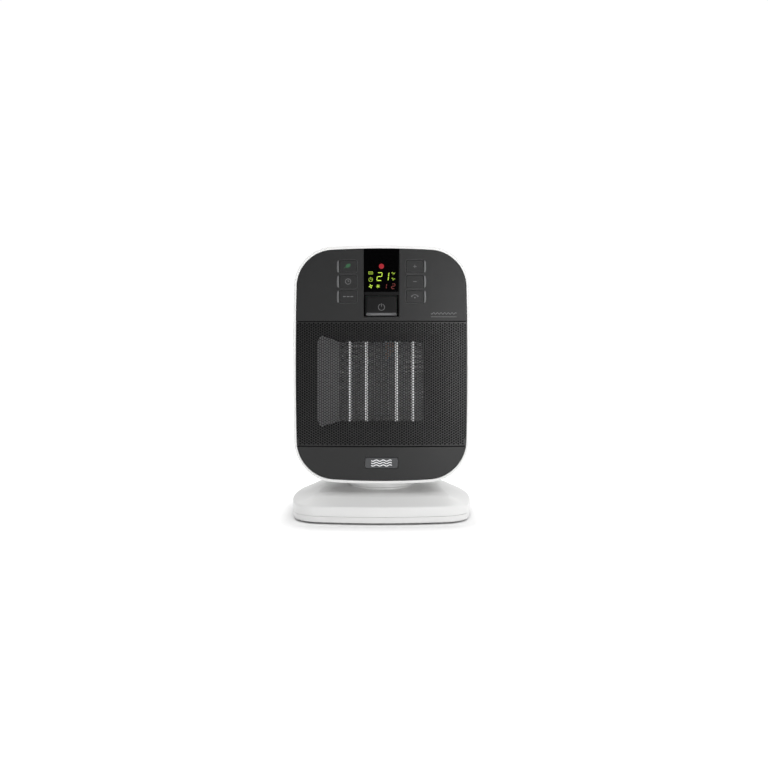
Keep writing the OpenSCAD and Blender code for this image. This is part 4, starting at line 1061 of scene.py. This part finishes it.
def rear_housing():
    """Side wall, rolled edge and domed back in one skin.
    It has wells for the filter, the hand and the screws, and a grid behind the filter."""
    start = SPLIT + 0.1 * MM
    chamfer = 0.35 * MM
    rings = [at_y(head_loop(inset), y)
             for inset, y in ((chamfer, start), (0, start + chamfer), (0, BACK - BACK_CORNER))]
    insets = BACK_CORNER * (1 - np.cos(np.linspace(0.06, 0.72, 12)))
    rings += [on_rear(head_loop(inset)) for inset in insets]
    verts, faces = strip(rings)

    well = box_rect(filter_lo, filter_hi, 0.6 * MM, 3 * MM)
    pockets = [(well, FILTER_FLOOR, False, 1.0 * MM),
               (rect(0, HAND_Z, 90 * MM, 28 * MM, 9 * MM, 12), HAND_FLOOR, True, 2.5 * MM)]
    pockets += [(circle(x, z, 3.8 * MM, 28), SPLIT + 6 * MM, True, 0.5 * MM)
                for x in (-SCREW_X, SCREW_X) for z in SCREW_ZS]
    loops = [head_loop(insets[-1])]
    loops += [inwards(outline[::-1], fillet) for outline, _, _, fillet in pockets]
    first = len(verts)
    verts = cap(verts, faces, loops, 4 * MM, on_rear)
    count = len(verts)
    all_verts = [verts]
    for outline, floor_y, floored, fillet in pockets:
        clockwise = outline[::-1]
        m = len(outline)
        rings = [on_rear(inwards(clockwise, fillet * (1 - math.sin(a))), fillet * (1 - math.cos(a)))
                 for a in np.linspace(0, math.pi / 2, 5)[1:-1]]
        rings += [on_rear(clockwise, fillet), at_y(clockwise, floor_y)]
        previous = first
        for ring in rings:
            all_verts.append(ring)
            faces += quads(previous, count, m)
            previous = count
            count += m
        if floored:
            _, floor = fill([outline], None)
            faces += [tuple(previous + m - 1 - i for i in t) for t in floor]
        first += m
    wall_piece("rear_shell", (np.concatenate(all_verts), faces), 2.2 * MM, "head", "rear_housing", 38)

    slots = [rect(0, z, 108 * MM, 3.4 * MM, 1.6 * MM, 5) for z in np.arange(102.7, 206, 6.4) * MM]
    grid = plate([well, *slots], upright(GRID_FACE, -1), 3 * MM, 0.5 * MM, spacing=12 * MM)
    piece("intake_grid", grid, WHITE, "head", "white_shell", ["rear_housing"])


LOUVRE_X, LOUVRE_Z = 36.6 * MM, 11.4 * MM


def dust_filter():
    """Removable frame with louvre openings, and the woven mesh behind it."""
    def place(u, v, depth):
        return np.stack([u, rear_y(u, v) - 0.5 * MM - depth, v], 1)
    holes = [rect(col * LOUVRE_X, FILTER_MID + row * LOUVRE_Z, LOUVRE_X - 3 * MM, 8.8 * MM, 3.2 * MM, 5)
             for row in range(-4, 5) for col in (-1, 0, 1)]
    outline = box_rect(filter_lo, filter_hi, 0, 2.6 * MM)
    piece("filter_louvre", plate([outline, *holes], place, 2.6 * MM, 0.6 * MM, spacing=9 * MM),
          WHITE, "filter", "white_shell", ["filter_frame"])
    lo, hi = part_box("filter_mesh")
    y = (lo.y + hi.y) / 2 - 0.4 * MM
    thread, gap, n = 0.34 * MM, 1.25 * MM, 10
    spans = ((lo.x, hi.x), (lo.z, hi.z))
    parts = []
    for axis in (0, 1):
        low, high = spans[axis]
        t = np.linspace(*spans[1 - axis], n)
        for k in range(int((high - low) / gap) + 1):
            rows = []
            for da, dy in ((-1, -1), (1, -1), (1, 1), (-1, 1)):
                a = np.full(n, low + k * gap + da * thread / 2)
                b = np.full(n, y + dy * thread / 2 + (0.18 * MM if axis else 0))
                rows.append(np.stack([a, b, t] if axis == 0 else [t, b, a], 1))
            parts.append(bar(rows))
    cloth = box_rect(lo, hi, 0, 1 * MM)
    parts.append(plate([cloth], upright(y - 0.35 * MM, -1), 0.12 * MM, 0, spacing=20 * MM))
    piece("filter_weave", joined(parts), CLOTH, "filter", "filter_cloth", ["filter_mesh"])


# ---------------------------------------------------------------- base
LIP_Z = 19.2 * MM
LIP_R = 2.0 * MM
SEAM_Z = base_lo.z
# Rise of the bevel for each unit inwards, and how much more it rises at the corners
BEVEL_SLOPE, CORNER_SLOPE = 0.385, 0.09
CROWN_Z, CROWN_X, CROWN_Y = 34.5 * MM, 5.0, 0.665
SEAT_R = 41.8 * MM
SEAT_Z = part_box("thrust_washer")[0].z


def crown(x, y):
    """Height of the base's gently domed plateau."""
    return CROWN_Z - y ** 2 / CROWN_Y - x ** 2 / CROWN_X


def on_crown(loop, lift=0.0):
    """The points of a flat outline on the plateau, or lifted above it."""
    return at_z(loop, crown(loop[:, 0], loop[:, 1]) + lift)


def crease_loop():
    """Where the bevel that rises inwards from the lip meets the crown, for each point of the outline."""
    lip = base_loop(0)
    inner = base_loop(1 * MM) - lip
    normal = inner / np.linalg.norm(inner, axis=1)[:, None]
    slope = BEVEL_SLOPE + CORNER_SLOPE * (2 * normal[:, 0] * normal[:, 1]) ** 2
    d = np.full(len(lip), 20 * MM)
    for _ in range(40):
        p = lip + normal * d[:, None]
        d += 0.6 * (crown(p[:, 0], p[:, 1]) - LIP_Z - slope * d) / slope
    return lip + normal * d[:, None]


def base_cover():
    """Side wall, rolled lip, bevel and plateau in one skin, with the seat that the neck turns in."""
    wall_z = SEAM_Z + 0.1 * MM
    wall = ((0.2 * MM, wall_z), (0.04 * MM, wall_z + 0.2 * MM), (0, wall_z + 1.2 * MM), (0, LIP_Z - 4 * MM))
    rings = [at_z(base_loop(inset), z) for inset, z in wall]
    lip, edge = base_loop(0), crease_loop()
    rise = crown(edge[:, 0], edge[:, 1]) - LIP_Z
    width = np.linalg.norm(edge - lip, axis=1)
    for a in np.linspace(0, math.pi / 2, 8):
        t = LIP_R / width * (1 - math.cos(a))
        loop = lip * (1 - t[:, None]) + edge * t[:, None]
        rings.append(at_z(loop, LIP_Z + rise * t - LIP_R * (1 - math.sin(a))))
    for t in np.linspace(0.14, 1, 18):
        droop = 0.35 * MM * max(0.0, (t - 0.86) / 0.14) ** 2
        rings.append(at_z(lip * (1 - t) + edge * t, LIP_Z + rise * t - droop))
    verts, faces = strip(rings)
    first, m = len(verts), 96

    def seat(r):
        return circle(0, 0, r, m)[::-1]

    verts = cap(verts, faces, [edge, seat(SEAT_R + 1.2 * MM)], 6 * MM, on_crown)
    steps = ((SEAT_R - 0.2 * MM, SEAT_Z - 0.3 * MM), (SEAT_R - 0.6 * MM, SEAT_Z), (36 * MM, SEAT_Z),
             (12.6 * MM, SEAT_Z), (12.45 * MM, SEAT_Z - 2 * MM))
    rings = [on_crown(seat(SEAT_R + 0.4 * MM)), on_crown(seat(SEAT_R), 0.25 * MM)]
    rings += [at_z(seat(r), z) for r, z in steps]
    count = len(verts)
    for _ in rings:
        faces += quads(first, count, m)
        first = count
        count += m
    wall_piece("base_top", (np.concatenate([verts, *rings]), faces), 2.2 * MM, "base", "base_cover", 40)


def base_tray():
    """A pan under the cover, with holes for the tip switch's plunger and the screws."""
    z0, z1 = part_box("base_tray")[0].z, SEAM_Z
    round_r, step = 1.2 * MM, 0.1 * MM
    rim_z = z1 - 0.1 * MM
    wall = [(2.4 * MM, rim_z), (0.3 * MM, rim_z), (0.12 * MM, z1 - 0.3 * MM), (step, z1 - 1 * MM)]
    wall += [(step + round_r * (1 - math.cos(a)), z0 + round_r * (1 - math.sin(a)))
             for a in np.linspace(0, math.pi / 2, 7)]
    verts, faces = strip([at_z(base_loop(inset), z) for inset, z in wall])
    plunger_lo, plunger_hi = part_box("tip_plunger")
    screw_x, screw_y = 46 * MM, 70 * MM
    holes = [circle(0, (plunger_lo.y + plunger_hi.y) / 2, 6.3 * MM, 40)]
    holes += [circle(x, y, 3.6 * MM, 24) for x in (-screw_x, screw_x) for y in (-screw_y, screw_y)]
    loops = [base_loop(step + round_r), *[h[::-1] for h in holes]]
    verts = cap(verts, faces, loops, 14 * MM, lambda points: at_z(points, z0))
    wall_piece("base_pan", (verts, faces), 2.0 * MM, "base", "base_tray", 35)


def neck():
    """The white ring that turns in the seat, with its skirt, a collar in the head and two lugs."""
    r, z0, z1 = neck_hi.x, neck_lo.z, neck_hi.z
    bore, lug_r, outer, throat = 12 * MM, 36.8 * MM, 41.6 * MM, 37 * MM
    collar_r, hub_r, hub_z = 34.5 * MM, 17 * MM, 38.8 * MM
    skirt = SEAT_Z + 0.12 * MM
    under = z0 + 1.7 * MM
    top, collar = HEAD_Z0 - 0.2 * MM, z1 - 2 * MM
    profile = [(bore, under), (36.2 * MM, under), (36.4 * MM, z0 + 0.3 * MM), (lug_r, z0),
               (38 * MM, z0), (38.4 * MM, skirt)]
    profile += [(outer - 0.4 * MM * (1 - math.cos(a)), skirt + 0.4 * MM * (1 - math.sin(a)))
                for a in np.linspace(math.pi / 2, 0, 6)]
    profile += [(outer, top - 0.3 * MM), (outer - 0.3 * MM, top), (throat, top), (throat, collar),
                (collar_r, collar), (collar_r, hub_z), (hub_r, hub_z), (hub_r, z1), (bore, z1)]
    parts = [lathe(profile, 128)]
    wide = math.asin(10 * MM / r)
    for turn in (0, math.pi):
        lug = np.concatenate([arc(0, 0, lug_r, turn - wide, turn + wide, 8),
                              arc(0, 0, r, turn + wide, turn - wide, 8)])
        n = len(lug)
        verts = np.concatenate([at_z(lug, z) for z in (collar - 2.2 * MM, collar)])
        faces = [tuple(range(n)), tuple(range(2 * n - 1, n - 1, -1))]
        faces += [(i, n + i, n + (i + 1) % n, (i + 1) % n) for i in range(n)]
        parts.append((verts, faces))
    piece("neck_disc", joined(parts), WHITE, "head", "white_shell", ["neck_ring"], 30)


def feet():
    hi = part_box("rubber_feet")[1]
    r, h = 8.5 * MM, hi.z
    profile = [(0.3 * MM, h), (r - 0.2 * MM, h), (r, h - 0.3 * MM), (r - 0.4 * MM, 0.9 * MM),
               (r - 0.7 * MM, 0.3 * MM), (r - 1.3 * MM, 0.0), (r - 3.2 * MM, 0.0), (r - 3.6 * MM, 0.5 * MM),
               (0.3 * MM, 0.5 * MM)]
    x, y = hi.x - r, hi.y - r
    parts = [lathe(profile, 40, sx * x, sy * y) for sx in (-1, 1) for sy in (-1, 1)]
    piece("foot_pads", joined(parts), RUBBER, "base", "foot_rubber", ["rubber_feet"])


# ---------------------------------------------------------------- stage
TABLE_GLOW = 0.3


def calculated(tree, operation, *values):
    """The output of a calculation with numbers and other outputs."""
    node = tree.nodes.new("ShaderNodeMath")
    node.operation = operation
    for k, value in enumerate(values):
        if isinstance(value, float):
            node.inputs[k].default_value = value
        else:
            tree.links.new(value, node.inputs[k])
    return node.outputs[0]


def smooth_ramp(tree, value, values):
    ramp = new_node(tree, "MapRange", values)
    ramp.interpolation_type = "SMOOTHSTEP"
    tree.links.new(value, ramp.inputs["Value"])
    return ramp.outputs["Result"]


def light_table(tree, shader):
    """The table glows, so that it stays white.
    Near the base it doesn't: the ring without glow is a painted contact shadow that darkens the rendered one.
    The glow starts sooner beside the base than in front of it."""
    place = new_node(tree, "TexCoord")
    split = new_node(tree, "SeparateXYZ")
    link(tree, place, "Object", split, 0)
    squares = []
    for output, half, weight in (("X", BASE_X, 1.25), ("Y", BASE_Y, 1.0)):
        away = calculated(tree, "ABSOLUTE", split.outputs[output])
        for operation, value in (("SUBTRACT", half - BASE_CORNER), ("MAXIMUM", 0.0), ("MULTIPLY", weight),
                                 ("POWER", 2.0)):
            away = calculated(tree, operation, away, value)
        squares.append(away)
    distance = calculated(tree, "SQRT", calculated(tree, "ADD", *squares))
    # Within this distance of the base the glow is off: a painted shadow
    glow = smooth_ramp(tree, distance, {"From Min": BASE_CORNER + 6 * MM, "From Max": BASE_CORNER + 45 * MM,
                                        "To Max": TABLE_GLOW})
    set_inputs(shader, {"Emission Color": (1, 1, 1, 1)})
    tree.links.new(glow, shader.inputs["Emission Strength"])


def table():
    mat = bpy.data.materials.new("studio_floor")
    mat.use_nodes = True
    tree = mat.node_tree
    shader = tree.nodes["Principled BSDF"]
    set_inputs(shader, {"Roughness": 0.9, "Specular IOR Level": 0.0})
    two_tones(tree, 3, 2, (0.94, 0.94, 0.94), (0.97, 0.97, 0.97), shader)
    light_table(tree, shader)
    mesh = bpy.data.meshes.new("floor")
    size = 40.0
    corners = [(x * size, y * size, 0) for x, y in ((-1, -1), (1, -1), (1, 1), (-1, 1))]
    mesh.from_pydata(corners, [], [(0, 1, 2, 3)])
    mesh.materials.append(mat)
    floor = bpy.data.objects.new("floor", mesh)
    bpy.context.scene.collection.objects.link(floor)


def room():
    """White backdrop and a broad soft light from above.
    The room is dark behind the camera, so that the dark fronts reflect little."""
    world = bpy.data.worlds.new("studio")
    world.use_nodes = True
    tree = world.node_tree
    surroundings = tree.nodes["Background"]
    place = new_node(tree, "TexCoord")

    def lobe(direction, wide, narrow, outside, within):
        """A light's strength around a direction. wide and narrow are angles from it."""
        facing = new_node(tree, "VectorMath", {1: Vector(direction).normalized()})
        facing.operation = "DOT_PRODUCT"
        link(tree, place, "Generated", facing, 0)
        return smooth_ramp(tree, facing.outputs["Value"], {
            "From Min": math.cos(math.radians(wide)), "From Max": math.cos(math.radians(narrow)),
            "To Min": outside, "To Max": within})

    above = lobe((0.12, 0.42, 0.9), 80, 20, 0.3, 1.4)
    dark_front = lobe((-0.25, -1, 0.12), 45, 18, 1, 0.05)
    strength = calculated(tree, "MULTIPLY", above, dark_front)
    set_inputs(surroundings, {"Color": (1, 1, 1, 1)})
    tree.links.new(strength, surroundings.inputs["Strength"])
    backdrop = new_node(tree, "Background", {"Color": (1, 1, 1, 1), "Strength": 1.02})
    path = new_node(tree, "LightPath")
    mix = new_node(tree, "MixShader")
    link(tree, path, "Is Camera Ray", mix, 0)
    link(tree, surroundings, "Background", mix, 1)
    link(tree, backdrop, "Background", mix, 2)
    link(tree, mix, "Shader", tree.nodes["World Output"], "Surface")
    bpy.context.scene.world = world


def lamps():
    """A key from the right and a lamp beside it, a fill from the front, and one from above the camera."""
    rows = [
        ("key", (0.62, -1.3, 0.12), 0.36, 0.5, 4.5, True),
        ("side", (1.45, -1.0, 0.2), 0.3, 0.3, 1.1, False),
        ("fill", (0, -1.7, 0.08), 0.7, 0.2, 3.2, False),
        ("front_top", (0.05, -1.0, 1.1), 0.8, 0.4, 3.8, False),
    ]
    aim = Vector((0, 0, 0.14))
    for name, at, width, height, power, shines in rows:
        data = bpy.data.lights.new(name, "AREA")
        data.shape = "RECTANGLE"
        data.size, data.size_y, data.energy = width, height, power
        lamp = bpy.data.objects.new(name, data)
        lamp.location = at
        lamp.rotation_euler = (aim - Vector(at)).to_track_quat("-Z", "Y").to_euler()
        lamp.visible_glossy = shines
        bpy.context.scene.collection.objects.link(lamp)


def camera():
    data = bpy.data.cameras.new("camera")
    data.lens = 43.73
    data.sensor_width = 36
    data.shift_x = 0.0033
    data.shift_y = -0.0539
    cam = bpy.data.objects.new("camera", data)
    cam.location = (0, -1.108, 0.2)
    cam.rotation_euler = (math.radians(90), 0, 0)
    bpy.context.scene.collection.objects.link(cam)
    bpy.context.scene.camera = cam
    bpy.context.scene.view_settings.view_transform = "Standard"


for make in (camera, table, room, lamps, dress_cad_nodes, front_housing, fascias, window, window_sill, grille,
             pads, marks, power_button, accents, display, badge, duct, element_fins, rear_housing,
             dust_filter, base_cover, base_tray, neck, feet, even_shading):
    make()
